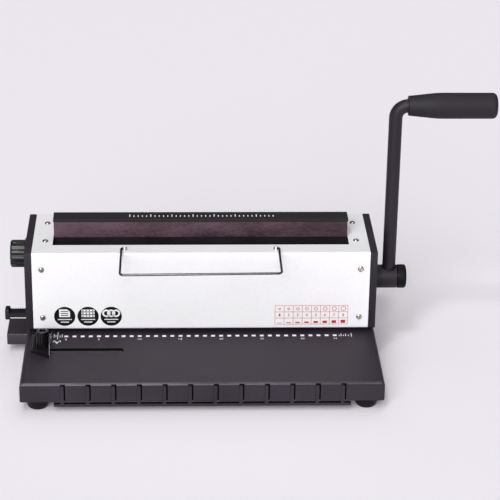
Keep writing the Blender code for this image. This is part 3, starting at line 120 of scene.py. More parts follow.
def grained(name, dark, light, grain, rough, bump, relief, cloud=60, stretch=(1, 1, 1),
            lean=0.0, painted_crease_shade=0.0, **sockets):
    """A finish whose colour, roughness and relief follow one fine grain and a cloud.

    grain and cloud are the sizes of a grain and of a cloudy patch in millimetres, relief
    is the height of the grain in millimetres, and rough is its range of roughness. lean
    makes the left end lighter than the right: painted light, as if a lamp stood to the
    left. crease is the reach in millimetres of a painted shade that darkens grooves and
    hollows and dims their gloss.
    """
    material, tree, shader = new_material(name, **sockets)
    place = add_node(tree, "ShaderNodeTexCoord")
    laid = add_node(tree, "ShaderNodeMapping", {
        "Vector": place.outputs["Object"], "Scale": stretch})
    fine = add_node(tree, "ShaderNodeTexNoise", {
        "Vector": laid.outputs[0], "Scale": 1 / (grain * mm), "Detail": 3.0,
        "Roughness": 0.55})
    broad = add_node(tree, "ShaderNodeTexNoise", {
        "Vector": laid.outputs[0], "Scale": 1 / (cloud * mm), "Detail": 3.0})
    summed = add_node(tree, "ShaderNodeMath", {
        0: fine.outputs["Fac"], 1: broad.outputs["Fac"]}, operation='ADD')
    share = add_node(tree, "ShaderNodeMapRange", {
        "Value": summed.outputs[0], "From Min": 0.75, "From Max": 1.25})
    mixed = share.outputs[0]
    # painted light: the colour grows lighter towards the left end, as if lit from the left
    if lean:
        parts = add_node(tree, "ShaderNodeSeparateXYZ", {0: place.outputs["Object"]})
        side = add_node(tree, "ShaderNodeMapRange", {
            "Value": parts.outputs[0], "From Min": -0.2, "From Max": 0.1, "To Min": lean,
            "To Max": -lean})
        mixed = add_node(tree, "ShaderNodeMath", {0: mixed, 1: side.outputs[0]},
                         operation='ADD', use_clamp=True).outputs[0]
    tone = add_node(tree, "ShaderNodeMix", {
        0: mixed, 6: colour(dark), 7: colour(light)}, data_type='RGBA')
    # painted shade: ambient occlusion darkens the colour and dims the gloss in grooves and
    # hollows
    if painted_crease_shade:
        open_share = add_node(tree, "ShaderNodeAmbientOcclusion", {
            "Distance": painted_crease_shade * mm}, samples=8, only_local=True)
        clear = add_node(tree, "ShaderNodeMapRange", {
            "Value": open_share.outputs["AO"], "From Min": 0.35, "From Max": 0.85,
            "To Min": 0.1, "To Max": 1.0})
        tone = add_node(tree, "ShaderNodeMix", {
            0: clear.outputs[0], 6: (0, 0, 0, 1), 7: tone.outputs[2]}, data_type='RGBA')
        shine = add_node(tree, "ShaderNodeMath", {0: clear.outputs[0], 1: 0.5},
                         operation='MULTIPLY')
        tree.links.new(shine.outputs[0], shader.inputs["Specular IOR Level"])
    tree.links.new(tone.outputs[2], shader.inputs["Base Color"])
    gloss = add_node(tree, "ShaderNodeMapRange", {
        "Value": summed.outputs[0], "From Min": 0.75, "From Max": 1.25,
        "To Min": rough[0], "To Max": rough[1]})
    tree.links.new(gloss.outputs[0], shader.inputs["Roughness"])
    raised = add_node(tree, "ShaderNodeBump", {
        "Height": fine.outputs["Fac"], "Strength": bump, "Distance": relief * mm})
    tree.links.new(raised.outputs[0], shader.inputs["Normal"])
    return material


# Powder coat on steel sheet: a smooth white skin with a faint orange peel.
white_coat = grained("white_powder_coat", "edecee", "f3f3f5", 1.6, (0.34, 0.42), 0.10, 0.05,
                     IOR=1.5)
# Powder coat on thick plate and tube: near black, satin, with a fine grain.
black_coat = grained("black_powder_coat", "1b141e", "261f29", 0.8, (0.48, 0.58), 0.28, 0.05,
                     IOR=1.42)
# The same coat painted blacker at the weld: painted shade in the corner where the tube meets the
# hub.
weld_shade_coat = grained("painted_weld_shade_coat", "070608", "0c0a0d", 0.8, (0.55, 0.65), 0.28, 0.05,
                      IOR=1.3)
# Spark eroded ABS moulding: dark grey, its grain breaks up the gloss. The grain is drawn
# three times too coarse, so that it still shows.
# Painted shade darkens its grooves and hollows, reaching 8 mm into them.
table_abs = grained("textured_abs_moulding", "241d27", "302933", 1.1, (0.50, 0.60), 0.34,
                    0.06, cloud=45, painted_crease_shade=8.0, IOR=1.38)
# The moulding's front edge round, painted paler: a painted highlight, lighter still at its left
# end, as if lit from the left.
fillet_highlight_abs = grained("painted_highlight_abs_edge", "312b34", "57505a", 1.1, (0.36, 0.44), 0.20, 0.04,
                     cloud=30, lean=0.5, IOR=1.46)
# Smoother ABS of the tray, which shines a little along its faces.
tray_abs = grained("satin_abs_moulding", "241c26", "2f2731", 1.0, (0.40, 0.50), 0.18, 0.04,
                   IOR=1.53)
# Satin black ABS of the small slides: darker than the table.
dark_abs = grained("satin_black_abs", "0d0b0e", "151217", 1.0, (0.32, 0.42), 0.16, 0.03,
                   IOR=1.42)
# Near black on the walls of the guide's slot: painted shade, where the slot is dark inside.
slot_shade_black = grained("painted_slot_shade", "050405", "090809", 0.6, (0.80, 0.90), 0.30, 0.05,
                      Specular_IOR_Level=0.1)
# Polished black ABS of the knobs: it throws back narrow bright lines.
gloss_abs = grained("polished_black_abs", "09080a", "100d11", 1.2, (0.10, 0.16), 0.04, 0.02,
                    IOR=1.42)
# Matt black ABS of the hub's cap: it gives back very little light.
cap_abs = grained("matt_black_abs", "060507", "0b090c", 1.0, (0.50, 0.60), 0.20, 0.03,
                  IOR=1.26)
# Nitrile foam grip: matt, with a skin that scatters the light at its edges.
grip_foam = grained("nitrile_foam_grip", "17111a", "201a23", 0.8, (0.60, 0.72), 0.50, 0.08,
                    IOR=1.44)
# Cast rubber foot, black and rather shiny.
foot_rubber = grained("cast_black_rubber", "070608", "0d0c0e", 1.4, (0.30, 0.40), 0.10, 0.03,
                      IOR=1.3)
# Flexible ferrite magnet: brown rubber filled with magnetic powder, rolled along its
# length, so its cloudy streaks run that way.
# Its left end is painted lighter than its right: painted light, as if lit from the left.
magnet_rubber = grained("flexible_ferrite_magnet", "38232b", "5b4450", 1.6, (0.42, 0.60),
                        0.20, 0.04, cloud=16, stretch=(0.35, 1, 1), lean=0.4, IOR=1.46)
# Blackened steel of the closing parts: oiled oxide, satin.
black_steel = grained("blackened_steel", "141016", "1d181f", 1.5, (0.42, 0.54), 0.12, 0.03,
                      IOR=1.42)
# Plain ground steel of the punch parts.
plain_steel = grained("ground_steel", "9a9a9c", "b0b0b3", 1.2, (0.26, 0.36), 0.10, 0.02,
                      Metallic=1.0)
# Zinc plated screws, bright with a soft cloud in the plating.
zinc_plate = grained("bright_zinc_plate", "9d9892", "cfccc8", 0.9, (0.16, 0.30), 0.10, 0.02,
                     Metallic=1.0)
# Nickel plated rod of the wire holder: its plating is set dark grey, a painted dark reflection of
# surroundings, while the lamps still glint in it.
nickel_rod = grained("nickel_plated_rod", "5d5b5f", "757277", 3.0, (0.14, 0.24), 0.04, 0.01,
                     Metallic=1.0)
# Oil filled sintered bronze of the bushes.
bronze = grained("sintered_bronze", "8a6a3c", "a9854f", 0.5, (0.35, 0.50), 0.30, 0.04,
                 Metallic=1.0)
# Screen printed inks, slightly matt, with a thin uneven film.
white_ink = grained("white_screen_ink", "e8e8ea", "f4f4f6", 0.8, (0.45, 0.55), 0.05, 0.01,
                    IOR=1.5)
black_ink = grained("black_screen_ink", "080708", "0e0d0e", 0.8, (0.45, 0.55), 0.05, 0.01,
                    IOR=1.3)
red_ink = grained("red_screen_ink", "b8101c", "c51c28", 0.8, (0.45, 0.55), 0.05, 0.01,
                  IOR=1.5)


def make_clear():
    """Clear rigid PVC sheet of the paper fence: it shows its cut edges."""
    material, tree, shader = new_material(
        "clear_rigid_pvc", Base_Color=colour("8f8d91"), IOR=1.35,
        Transmission_Weight=0.9)
    place = add_node(tree, "ShaderNodeTexCoord")
    haze = add_node(tree, "ShaderNodeTexNoise", {
        "Vector": place.outputs["Object"], "Scale": 1 / (4 * mm), "Detail": 2.0})
    gloss = add_node(tree, "ShaderNodeMapRange", {
        "Value": haze.outputs["Fac"], "To Min": 0.05, "To Max": 0.16})
    tree.links.new(gloss.outputs[0], shader.inputs["Roughness"])
    return material


clear_pvc = make_clear()


# Building helpers

def finish_piece(name, bm, material, body, replaced=(), angle=32.0, at_home=True):
    """Turn a bmesh into a piece that rides on its body."""
    if at_home:
        bm.transform(home_matrix)
    mesh = bpy.data.meshes.new(name)
    bm.to_mesh(mesh)
    bm.free()
    piece = bpy.data.objects.new(name, mesh)
    bpy.context.scene.collection.objects.link(piece)
    mesh.materials.append(material)
    mesh.shade_smooth()
    mesh.set_sharp_from_angle(angle=math.radians(angle))
    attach(piece, body)
    if replaced:
        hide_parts(*replaced)
    return piece


def eased_copy(node, name, material, width=0.0, segments=2, angle=32.0):
    """A copy of a CAD node with its edges eased by width millimetres."""
    source = frame["nodes"][node]
    bm = bmesh.new()
    bm.from_mesh(source.data)
    bmesh.ops.remove_doubles(bm, verts=bm.verts, dist=0.002 * mm)
    bmesh.ops.dissolve_limit(bm, angle_limit=math.radians(0.4), verts=bm.verts,
                             edges=bm.edges, use_dissolve_boundaries=False)
    piece = finish_piece(name, bm, material, source["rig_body"], (node,), angle,
                         at_home=False)
    if width > 0:
        ease = piece.modifiers.new("eased_edges", 'BEVEL')
        ease.width = width * mm
        ease.segments = segments
        ease.limit_method = 'ANGLE'
        ease.angle_limit = math.radians(50)
        ease.use_clamp_overlap = True
        ease.harden_normals = True
    else:
        # large faces stay flat beside the rounds that meet them
        flat = piece.modifiers.new("flat_faces", 'WEIGHTED_NORMAL')
        flat.keep_sharp = True
        flat.weight = 100
    return piece


axes = {
    "X": Matrix.Rotation(math.radians(90), 4, 'Y'),
    "-X": Matrix.Rotation(math.radians(-90), 4, 'Y'),
    "Y": Matrix.Rotation(math.radians(-90), 4, 'X'),
    "-Y": Matrix.Rotation(math.radians(90), 4, 'X'),
    "Z": Matrix.Identity(4),
}


def turned(profile, start, axis, steps=96):
    """A closed turned form: profile is (radius, height) from the top down."""
    bm = bmesh.new()
    verts = [bm.verts.new((radius, 0, height)) for radius, height in profile]
    edges = [bm.edges.new(pair) for pair in zip(verts, verts[1:])]
    if profile[0][0] > 0:
        edges.append(bm.edges.new((verts[-1], verts[0])))
    bmesh.ops.spin(bm, geom=verts + edges, axis=(0, 0, 1), cent=(0, 0, 0), dvec=(0, 0, 0),
                   angle=2 * math.pi, steps=steps, use_merge=True)
    bmesh.ops.remove_doubles(bm, verts=bm.verts, dist=0.0005)
    bmesh.ops.recalc_face_normals(bm, faces=bm.faces)
    bm.transform(Matrix.Translation(start) @ axes[axis])
    return bm


def quarter(centre, radius, start, end, steps):
    """Points round a centre between two angles in degrees."""
    points = []
    for step in range(steps + 1):
        angle = math.radians(start + (end - start) * step / steps)
        points.append((centre[0] + radius * math.cos(angle),
                       centre[1] + radius * math.sin(angle)))
    return points


def swept(path, radius, sides):
    """A round rod along a list of points, closed at its ends."""
    curve = bpy.data.curves.new("path", 'CURVE')
    curve.dimensions = '3D'
    curve.bevel_depth = radius
    curve.bevel_resolution = sides // 2 - 2
    curve.use_fill_caps = True
    spline = curve.splines.new('POLY')
    spline.points.add(len(path) - 1)
    for point, place in zip(spline.points, path):
        point.co = (*place, 1)
    bm = mesh_of(curve)
    bmesh.ops.remove_doubles(bm, verts=bm.verts, dist=0.0005)
    bmesh.ops.recalc_face_normals(bm, faces=bm.faces)
    return bm


def mesh_of(curve):
    """A curve or a text as a bmesh, and the curve removed."""
    holder = bpy.data.objects.new("curve", curve)
    bpy.context.scene.collection.objects.link(holder)
    bpy.context.view_layer.update()
    mesh = bpy.data.meshes.new_from_object(
        holder.evaluated_get(bpy.context.evaluated_depsgraph_get()))
    bpy.data.objects.remove(holder, do_unlink=True)
    bm = bmesh.new()
    bm.from_mesh(mesh)
    bpy.data.meshes.remove(mesh)
    return bm


def bend(centre, first, second, radius, steps):
    """Points of a quarter bend from one unit direction to another."""
    points = []
    for step in range(steps + 1):
        angle = math.pi / 2 * step / steps
        side = Vector(first) * math.cos(angle) + Vector(second) * math.sin(angle)
        points.append(Vector(centre) + side * radius)
    return points


def extruded(outline, height):
    """A flat outline raised by height along Z."""
    bm = bmesh.new()
    face = bm.faces.new([bm.verts.new((x, y, 0)) for x, y in outline])
    raised = bmesh.ops.extrude_face_region(bm, geom=[face], use_keep_orig=True)["geom"]
    top = [item for item in raised if isinstance(item, bmesh.types.BMVert)]
    bmesh.ops.translate(bm, verts=top, vec=(0, 0, height))
    bmesh.ops.recalc_face_normals(bm, faces=bm.faces)
    return bm


def merge_into(bm, other, matrix=None):
    """Add another bmesh to bm, moved by matrix, and free it."""
    if matrix is not None:
        other.transform(matrix)
    mesh = bpy.data.meshes.new("join")
    other.to_mesh(mesh)
    other.free()
    bm.from_mesh(mesh)
    bpy.data.meshes.remove(mesh)


# Prints
# Each print is a thin film on its surface. It is drawn flat in X and Y, then laid on
# the deck, or stood against the front cover's face.

on_deck = Matrix.Translation((0, 0, deck + ink_lift))
on_front = (Matrix.Translation((0, -ink_lift, 0))
            @ Matrix.Rotation(math.radians(90), 4, 'X'))


def outline_print(bm, points, level=0):
    """One printed outline; level counts the films under it."""
    merge_into(bm, extruded(points, ink), Matrix.Translation((0, 0, level * ink)))


def bar(bm, left, low, right, high, level=0):
    """One printed rectangle."""
    outline_print(bm, [(left, low), (right, low), (right, high), (left, high)], level)


def ring_print(bm, x, y, outer, inner, level=0, start=0, end=360, steps=48):
    """A printed ring or arc."""
    if end - start >= 360:
        ring_print(bm, x, y, outer, inner, level, start, start + 180, steps // 2)
        ring_print(bm, x, y, outer, inner, level, start + 180, start + 360, steps // 2)
        return
    outline_print(bm, quarter((x, y), outer, start, end, steps)
                  + quarter((x, y), inner, end, start, steps), level)


def number_print(bm, text, x, y, width, height, bold=0.03):
    """A plain number of a given width and height, centred on x, y."""
    curve = bpy.data.curves.new("number", 'FONT')
    curve.body = text
    curve.offset = bold
    curve.extrude = 0.01
    curve.resolution_u = 4
    letter = mesh_of(curve)
    bmesh.ops.remove_doubles(letter, verts=letter.verts, dist=0.0001)
    low = Vector([min(vert.co[axis] for vert in letter.verts) for axis in range(3)])
    high = Vector([max(vert.co[axis] for vert in letter.verts) for axis in range(3)])
    size = high - low
    fitted = Matrix.Diagonal((width / size.x, height / size.y, ink / size.z, 1))
    merge_into(bm, letter, Matrix.Translation((x - width / 2, y - height / 2, 0)) @ fitted
               @ Matrix.Translation(-low))


def make_scale():
    """White hole marks and their numbers on the deck, with the end ticks."""
    pitch, holes, middle = 25.4 / 3, 34, -0.5
    first = middle - pitch * (holes - 1) / 2
    half_mark, mark_front, mark_back = 2.0, -9.2, -5.5
    bm = bmesh.new()
    for index in range(holes):
        x = first + pitch * index
        bar(bm, x - half_mark, mark_front, x + half_mark, mark_back)
    for count in (1, 5, 10, 15, 20, 25, 30, 34):
        number_print(bm, str(count), first + pitch * (count - 1), -14.4,
                     1.3 if count == 1 else 1.9 * len(str(count)), 3.0, 0.0)
    # the uneven ticks at both ends: place, front end and back end
    half_tick = 0.36
    ticks = ((-157.4, -9.2, -2.4), (-155.0, -8.8, -4.8), (-152.8, -9.6, -2.0),
             (-150.9, -8.8, -4.4), (-149.0, -13.8, 2.5), (-146.6, -9.4, -5.0),
             (-144.4, -9.6, -2.4), (143.9, -9.4, -6.8), (145.9, -9.4, -3.4),
             (148.4, -9.4, -6.2), (150.7, -9.4, -3.8), (153.4, -9.4, -6.2),
             (156.6, -10.8, -2.7))
    for x, low, high in ticks:
        bar(bm, x - half_tick, low, x + half_tick, high)
    # an arrow head under the long tick, with a short dash at each side
    outline_print(bm, [(-151.6, -18.6), (-149.2, -24.6), (-146.8, -18.6), (-148.2, -18.6),
                       (-149.2, -21.0), (-150.2, -18.6)])
    outline_print(bm, [(-153.6, -19.8), (-152.0, -16.0), (-151.2, -17.0), (-152.6, -20.4)])
    outline_print(bm, [(-147.2, -17.0), (-146.2, -16.0), (-144.8, -19.8), (-145.8, -20.4)])
    bm.transform(on_deck)
    finish_piece("scale_print", bm, white_ink, "frame")


def make_discs():
    """Three black discs on the cover: a sheet, a punched edge and a comb, all plain."""
    height, radius = 51.6, 11.0
    places = (-141.7, -117.5, -93.5)
    black = bmesh.new()
    white = bmesh.new()
    for x in places:
        outline_print(black, quarter((x, height), radius, 0, 355, 71))
        for row, half in ((-3.6, 7.2), (-6.6, 4.2)):
            bar(white, x - half, height + row - 0.5, x + half, height + row + 0.5, 1)
    x = places[0]
    outline_print(white, [(x - 5.6, height - 0.8), (x + 5.6, height - 0.8),
                          (x + 5.6, height + 5.4), (x + 2.6, height + 8.2),
                          (x - 5.6, height + 8.2)], 1)
    for row in range(3):
        bar(black, x - 4.0, height + 0.7 + 2.3 * row, x + 3.8, height + 1.6 + 2.3 * row, 2)
    x = places[1]
    for row in range(3):
        bar(white, x - 6.8, height - 0.8 + 3.2 * row, x + 6.8, height + 1.4 + 3.2 * row, 1)
    for row in range(3):
        for index in range(4):
            left = x - 5.9 + 3.4 * index
            bar(black, left, height - 0.3 + 3.2 * row, left + 1.2, height + 0.9 + 3.2 * row,
                2)
    x = places[2]
    for index in range(3):
        ring_print(white, x - 5.0 + 5.0 * index, height + 3.4, 4.3, 2.5, 1)
    black.transform(on_front)
    white.transform(on_front)
    finish_piece("disc_print", black, black_ink, "frame")
    finish_piece("pictogram_print", white, white_ink, "frame")


def make_chart():
    """A plain red table of comb sizes: a growing ring, its number and its stack of paper."""
    left, right, low, high = 76.6, 152.9, 41.2, 63.2
    line, columns, rows = 0.42, 8, 3
    cell, step = (right - left - line) / columns, (high - low - line) / rows
    bm = bmesh.new()
    for column in range(columns + 1):
        x = left + column * cell
        bar(bm, x, low, x + line, high)
        if column == columns:
            continue
        for row in range(rows + 1):
            y = low + row * step
            bar(bm, x + line, y, x + cell, y + line)
        middle = x + (cell + line) / 2
        radius = 1.2 + 0.22 * column
        ring_print(bm, middle, low + 2.5 * step + line / 2, radius, radius - 0.6)
        number_print(bm, str(column + 1), middle, low + 1.5 * step + line / 2, 1.6, 3.2)
        bar(bm, middle - 2.4, low + 1.4, middle + 2.4, low + 2.0 + 0.45 * column)
    bm.transform(on_front)
    finish_piece("chart_print", bm, red_ink, "frame")


def make_flange_scale():
    """A plain scale of white ticks along the press bar's flange, every fifth one longer."""
    top = ends("press_bar")[1].z
    first, pitch, middle = -74.2, 4.4, 49.2
    bm = bmesh.new()
    for index in range(35):
        x = first + index * pitch
        bar(bm, x - 0.5, middle - 3.0, x + 0.5, middle + (0.8 if index % 5 else 3.0))
    bm.transform(Matrix.Translation((0, 0, top + ink_lift)))
    finish_piece("flange_print", bm, white_ink, "press")


# Pieces

def make_housing():
    """The CAD's sheet, plate and moulded pieces in their own finishes."""
    table = eased_copy("base", "table", table_abs)
    # the walls of the guide's slot take a painted black shade, and the front edge's round a
    # painted highlight
    table.data.materials.append(slot_shade_black)
    table.data.materials.append(fillet_highlight_abs)
    slot_left, slot_right, slot_front, slot_back = -170, -79, -44, -33
    edge_height = 2.3
    for face in table.data.polygons:
        x, y, z = (face.center - home) / mm
        in_slot = slot_left < x < slot_right and slot_front < y < slot_back
        if in_slot and z < deck - 0.1 and abs(face.normal.z) < 0.7:
            face.material_index = 1
        # the front edge's round takes the painted highlight
        elif z > deck - edge_height and face.normal.y < -0.15 and face.normal.z > 0.15:
            face.material_index = 2
    eased_copy("side_plate_left", "left_plate", black_coat, 0.45, 3)
    eased_copy("side_plate_right", "right_plate", black_coat, 0.45, 3)
    eased_copy("front_cover", "front_sheet", white_coat)
    eased_copy("rear_cover", "rear_sheet", white_coat)
    eased_copy("press_bar", "closing_bar", black_steel, 0.35)
    eased_copy("magnet_strip", "magnet", magnet_rubber)
    eased_copy("chip_tray", "tray", tray_abs, 0.2)
    eased_copy("margin_slide", "margin_pull", dark_abs, 0.25)
    eased_copy("guide_bracket", "guide_foot", dark_abs, 0.5, 3)
    eased_copy("guide_fence", "fence", clear_pvc, 0.1)


def make_feet():
    """Rubber feet, domed down to a flat tread."""
    neck, tread, rim = 9.0, 8.6, 9.8
    for row in ("front", "rear"):
        for side in ("left", "right"):
            low, high = ends(f"foot_{row}_{side}")
            wide = (high.x - low.x) / 2
            profile = [(0, high.z), (neck, high.z), (neck, rim + 0.5)]
            profile += quarter((wide - 0.5, rim), 0.5, 90, 0, 4)[:-1]
            profile += [(tread + (wide - tread) * math.cos(math.radians(step * 7.5)),
                         rim * (1 - math.sin(math.radians(step * 7.5))))
                        for step in range(13)]
            profile.append((0, 0))
            bm = turned(profile, ((low.x + high.x) / 2, (low.y + high.y) / 2, 0), "Z", 72)
            finish_piece(f"rubber_foot_{row}_{side}", bm, foot_rubber, "frame",
                         (f"foot_{row}_{side}",))


def make_screws():
    """Dome headed screws with a cross recess."""
    radius, dome = 3.1, 1.6
    head = [(0, dome)]
    head += [(radius * math.sin(math.radians(a)), dome * math.cos(math.radians(a)))
             for a in range(9, 91, 9)]
    head += [(2.9, -0.02), (1.6, -0.02), (1.6, -3.6), (0, -3.6)]
    cross = bmesh.new()
    for half_x, half_y in ((2.1, 0.5), (0.5, 2.1)):
        outline = [(-half_x, -half_y), (half_x, -half_y), (half_x, half_y),
                   (-half_x, half_y)]
        merge_into(cross, extruded(outline, 3.0), Matrix.Translation((0, 0, 0.2)))
    blank = turned(head, (0, 0, 0), "Z", 40)
    parts = []
    for name, bm in (("blank", blank), ("cross", cross)):
        mesh = bpy.data.meshes.new(name)
        bm.to_mesh(mesh)
        bm.free()
        parts.append(bpy.data.objects.new(name, mesh))
        bpy.context.scene.collection.objects.link(parts[-1])
    recess = parts[0].modifiers.new("recess", 'BOOLEAN')
    recess.operation = 'DIFFERENCE'
    recess.solver = 'EXACT'
    recess.use_self = True
    recess.object = parts[1]
    bpy.context.view_layer.update()
    done = bpy.data.meshes.new_from_object(
        parts[0].evaluated_get(bpy.context.evaluated_depsgraph_get()))
    for part in parts:
        bpy.data.objects.remove(part, do_unlink=True)
    # each screw's place on its sheet, and how far its cross is turned
    wall_x, roof_x, front_y, roof_z, rear_y = 164.5, 161.5, -0.3, 123.6, 102.3
    places = []
    for side, sign in (("left", -1), ("right", 1)):
        places += [
            (f"front_screw_upper_{side}", (sign * wall_x, front_y, 105.0), "-Y", 20 * sign),
            (f"front_screw_lower_{side}", (sign * wall_x, front_y, 50.1), "-Y", 38 * sign),
            (f"top_screw_front_{side}", (sign * roof_x, 30.6, roof_z), "Z", 12 * sign),
            (f"top_screw_rear_{side}", (sign * roof_x, 76.2, roof_z), "Z", 55 * sign),
            (f"rear_screw_{side}", (sign * wall_x, rear_y, 80.6), "Y", 25 * sign)]
    for name, place, axis, turn in places:
        bm = bmesh.new()
        bm.from_mesh(done)
        bm.transform(Matrix.Translation(place) @ axes[axis]
                     @ Matrix.Rotation(math.radians(turn), 4, 'Z'))
        finish_piece(name + "_head", bm, zinc_plate, "frame", (name,))


def make_lever():
    """Hub, cap, bent tube with its weld, and foam grip."""
    low, high = ends("lever_hub")
    axle = (low + high) / 2
    hub_radius, hub_length, edge, bore = (high.z - low.z) / 2, high.x - low.x, 0.8, 7.3
    hub = [(bore, hub_length)]
    hub += quarter((hub_radius - edge, hub_length - edge), edge, 90, 0, 5)
    hub += quarter((hub_radius - edge, edge), edge, 0, -90, 5) + [(bore, 0)]
    bm = turned(hub, (low.x, axle.y, axle.z), "X")
    finish_piece("hub", bm, black_coat, "lever", ("lever_hub",))

    low, high = ends("hub_cap")
    wide, long, fillet, crown = (high.z - low.z) / 2, high.x - low.x, 2.6, 0.6
    cap = [((wide - fillet) * share, long - crown * share ** 2)
           for share in (step / 6 for step in range(6))]
    cap += quarter((wide - fillet, long - crown - fillet), fillet, 90, 0, 10)
    cap += quarter((wide - 0.4, 0.4), 0.4, 0, -90, 4) + [(0, 0)]
    bm = turned(cap, (low.x, axle.y, axle.z), "X")
    finish_piece("cap", bm, cap_abs, "lever", ("hub_cap",))

    low, high = ends("lever_tube")
    tube_radius = (high.y - low.y) / 2
    tube_x, top, round_off = low.x + tube_radius, high.z - tube_radius, 13.0
    path = [Vector((tube_x, axle.y, axle.z + bore))]
    path += bend((tube_x + round_off, axle.y, top - round_off), (-1, 0, 0), (0, 0, 1),
                 round_off, 24)
    path.append(Vector((high.x, axle.y, top)))
    finish_piece("bent_tube", swept(path, tube_radius, 56), black_coat, "lever",
                 ("lever_tube",))

    # the weld is turned round the tube and dropped onto the hub's own curve
    weld = [(tube_radius, 1.9), (tube_radius + 0.25, 1.0), (tube_radius + 0.7, 0.4),
            (tube_radius + 1.5, 0.05), (tube_radius + 1.4, -0.7), (tube_radius - 0.6, -0.7),
            (tube_radius - 0.6, 1.8)]
    bm = turned(weld, (0, 0, 0), "Z", 80)
    for vert in bm.verts:
        vert.co.z += math.sqrt(max(hub_radius ** 2 - vert.co.y ** 2, 0))
    bm.transform(Matrix.Translation((tube_x, axle.y, axle.z)))
    # the weld is painted blacker than the coat: painted shade in the corner
    finish_piece("tube_weld", bm, weld_shade_coat, "lever", angle=60)

    low, high = ends("lever_grip")
    wide, long, neck, taper, shoulder, fillet = ((high.y - low.y) / 2, high.x - low.x, 10.2,
                                                 30.0, 6.0, 4.8)
    slope = (wide - neck) / taper
    grip = [(0, long)] + quarter((wide - fillet, long - fillet), fillet, 90, 0, 12)
    for step in range(9):
        share = step / 8
        grip.append((wide - slope * shoulder * share ** 2,
                     taper + shoulder * (1 - 2 * share)))
    grip += quarter((neck - 0.7, 0.7), 0.7, 0, -90, 4) + [(7.2, 0), (7.2, long - 4.0),
                                                          (0, long - 4.0)]
    bm = turned(grip, (low.x, axle.y, top), "X", 112)
    finish_piece("foam_grip", bm, grip_foam, "lever", ("lever_grip",))


def fluted(radius, depth, flutes, steps, power):
    """An outline with round grooves cut round it; a higher power leaves wider lands."""
    outline = []
    for step in range(flutes * steps):
        angle = 2 * math.pi * step / (flutes * steps)
        share = 0.5 - 0.5 * math.cos(flutes * angle)
        reach = radius - depth * share ** power
        outline.append((reach * math.cos(angle), reach * math.sin(angle)))
    return outline


def make_knob():
    """Fluted size knob with a rounded face, and the round plate behind it."""
    low, high = ends("selector_knob")
    middle, radius, length = (low + high) / 2, (high.z - low.z) / 2, high.x - low.x
    flute_depth, flutes, rounding = 1.3, 12, 2.2
    bm = extruded(fluted(radius, flute_depth, flutes, 16, 1.6), length)
    top = [vert for vert in bm.verts if vert.co.z > length - 0.2]
    lid = [face for face in bm.faces if all(vert in top for vert in face.verts)]
    edges = list({edge for face in lid for edge in face.edges})
    bmesh.ops.bevel(bm, geom=edges, offset=rounding, segments=5, profile=0.5,
                    affect='EDGES', material=-1)
    bm.transform(Matrix.Translation((high.x, middle.y, middle.z)) @ axes["-X"])
    finish_piece("size_knob", bm, gloss_abs, "selector",
                 ("selector_knob",), 40)

    low, high = ends("selector_dial")
    radius, length = (high.z - low.z) / 2, high.x - low.x
    plate = [(4.3, length)] + quarter((radius - 0.9, length - 0.9), 0.9, 90, 0, 5)
    plate += [(radius, 0), (4.3, 0)]
    bm = turned(plate, (high.x, middle.y, middle.z), "-X")
    finish_piece("size_plate", bm, dark_abs, "frame", ("selector_dial",))


def make_guide_knob():
    """Tall fluted clamp knob with a hollow top, on its screw and nut."""
    low, high = ends("guide_knob")
    x, y = (low.x + high.x) / 2, (low.y + high.y) / 2
    foot_height, radius, hollow = 5.2, 6.1, 3.4
    start, height = deck + foot_height, high.z - deck - foot_height
    bm = extruded(fluted(radius, 0.5, 16, 8, 1.0), height - 1.6)
    ring = [(hollow, height - 0.3), (hollow + 0.3, height)]
    ring += quarter((radius - 0.7, height - 0.5), 0.5, 90, 0, 4)
    ring += [(radius - 0.2, height - 1.6), (hollow, height - 4.0)]
    merge_into(bm, turned(ring, (0, 0, 0), "Z", 64))
    merge_into(bm, turned([(0, 0), (2.2, 0), (2.2, -8.5), (6.5, -8.5), (6.5, -11.5),
                           (0, -11.5)], (0, 0, 0), "Z", 48))
    bm.transform(Matrix.Translation((x, y, start)))
    finish_piece("clamp_knob", bm, gloss_abs, "clamp", ("guide_knob",))


def make_wire_holder():
    """Plated rod bent to a U, a little out of square, its ends through the ears."""
    low, high = ends("wire_holder")
    radius = (high.z - low.z) / 2
    left, right, front = low.x + radius, high.x - radius, low.y + radius
    y, z, small, corner, reach = 9.0, (low.z + high.z) / 2, 2.5, 4.2, 5.7
    path = [Vector((left + reach, y, z))]
    path += bend((left + small, y - small, z), (0, 1, 0), (-1, 0, 0), small, 8)
    path += bend((left + corner, front + corner, z), (-1, 0, 0), (0, -1, 0), corner, 12)
    path += bend((right - corner, front + corner, z), (0, -1, 0), (1, 0, 0), corner, 12)
    path += bend((right - small, y - small, z), (1, 0, 0), (0, 1, 0), small, 8)
    path.append(Vector((right - reach, y, z)))
    # the rear half of the arms stays true; the bar leans by a degree
    lean, set_back = 1.45, 0.3
    for point in path:
        share = max(y - small - point.y, 0) / (y - small - front)
        point.y += share * (lean * (point.x - (left + right) / 2) / (right - left) * 2 + set_back)
    finish_piece("holder_rod", swept(path, radius, 20), nickel_rod, "holder",
                 ("wire_holder",), 60)


def dress_inner_nodes():
    """Give every CAD node that stays its own finish."""
    finishes = {
        plain_steel: ("punch_bar", "punch_guide", "die_plate", "press_rail_left",
                      "press_rail_right", "lever_shaft", "selector_shaft", "back_stop",
                      "rear_tie_bar", "return_spring", "cover_bracket_left",
                      "cover_bracket_right"),
        black_steel: ("punch_eccentric_left", "punch_eccentric_right", "punch_yoke_left",
                      "punch_yoke_right", "press_eccentric_left", "press_eccentric_right",
                      "press_fork_left", "press_fork_right", "fixed_jaw", "trough_floor",
                      "stop_plate"),
        bronze: ("bush_left", "bush_right"),
    }
    for material, names in finishes.items():
        for name in names:
            for slot in frame["nodes"][name].material_slots:
                slot.material = material


# Studio

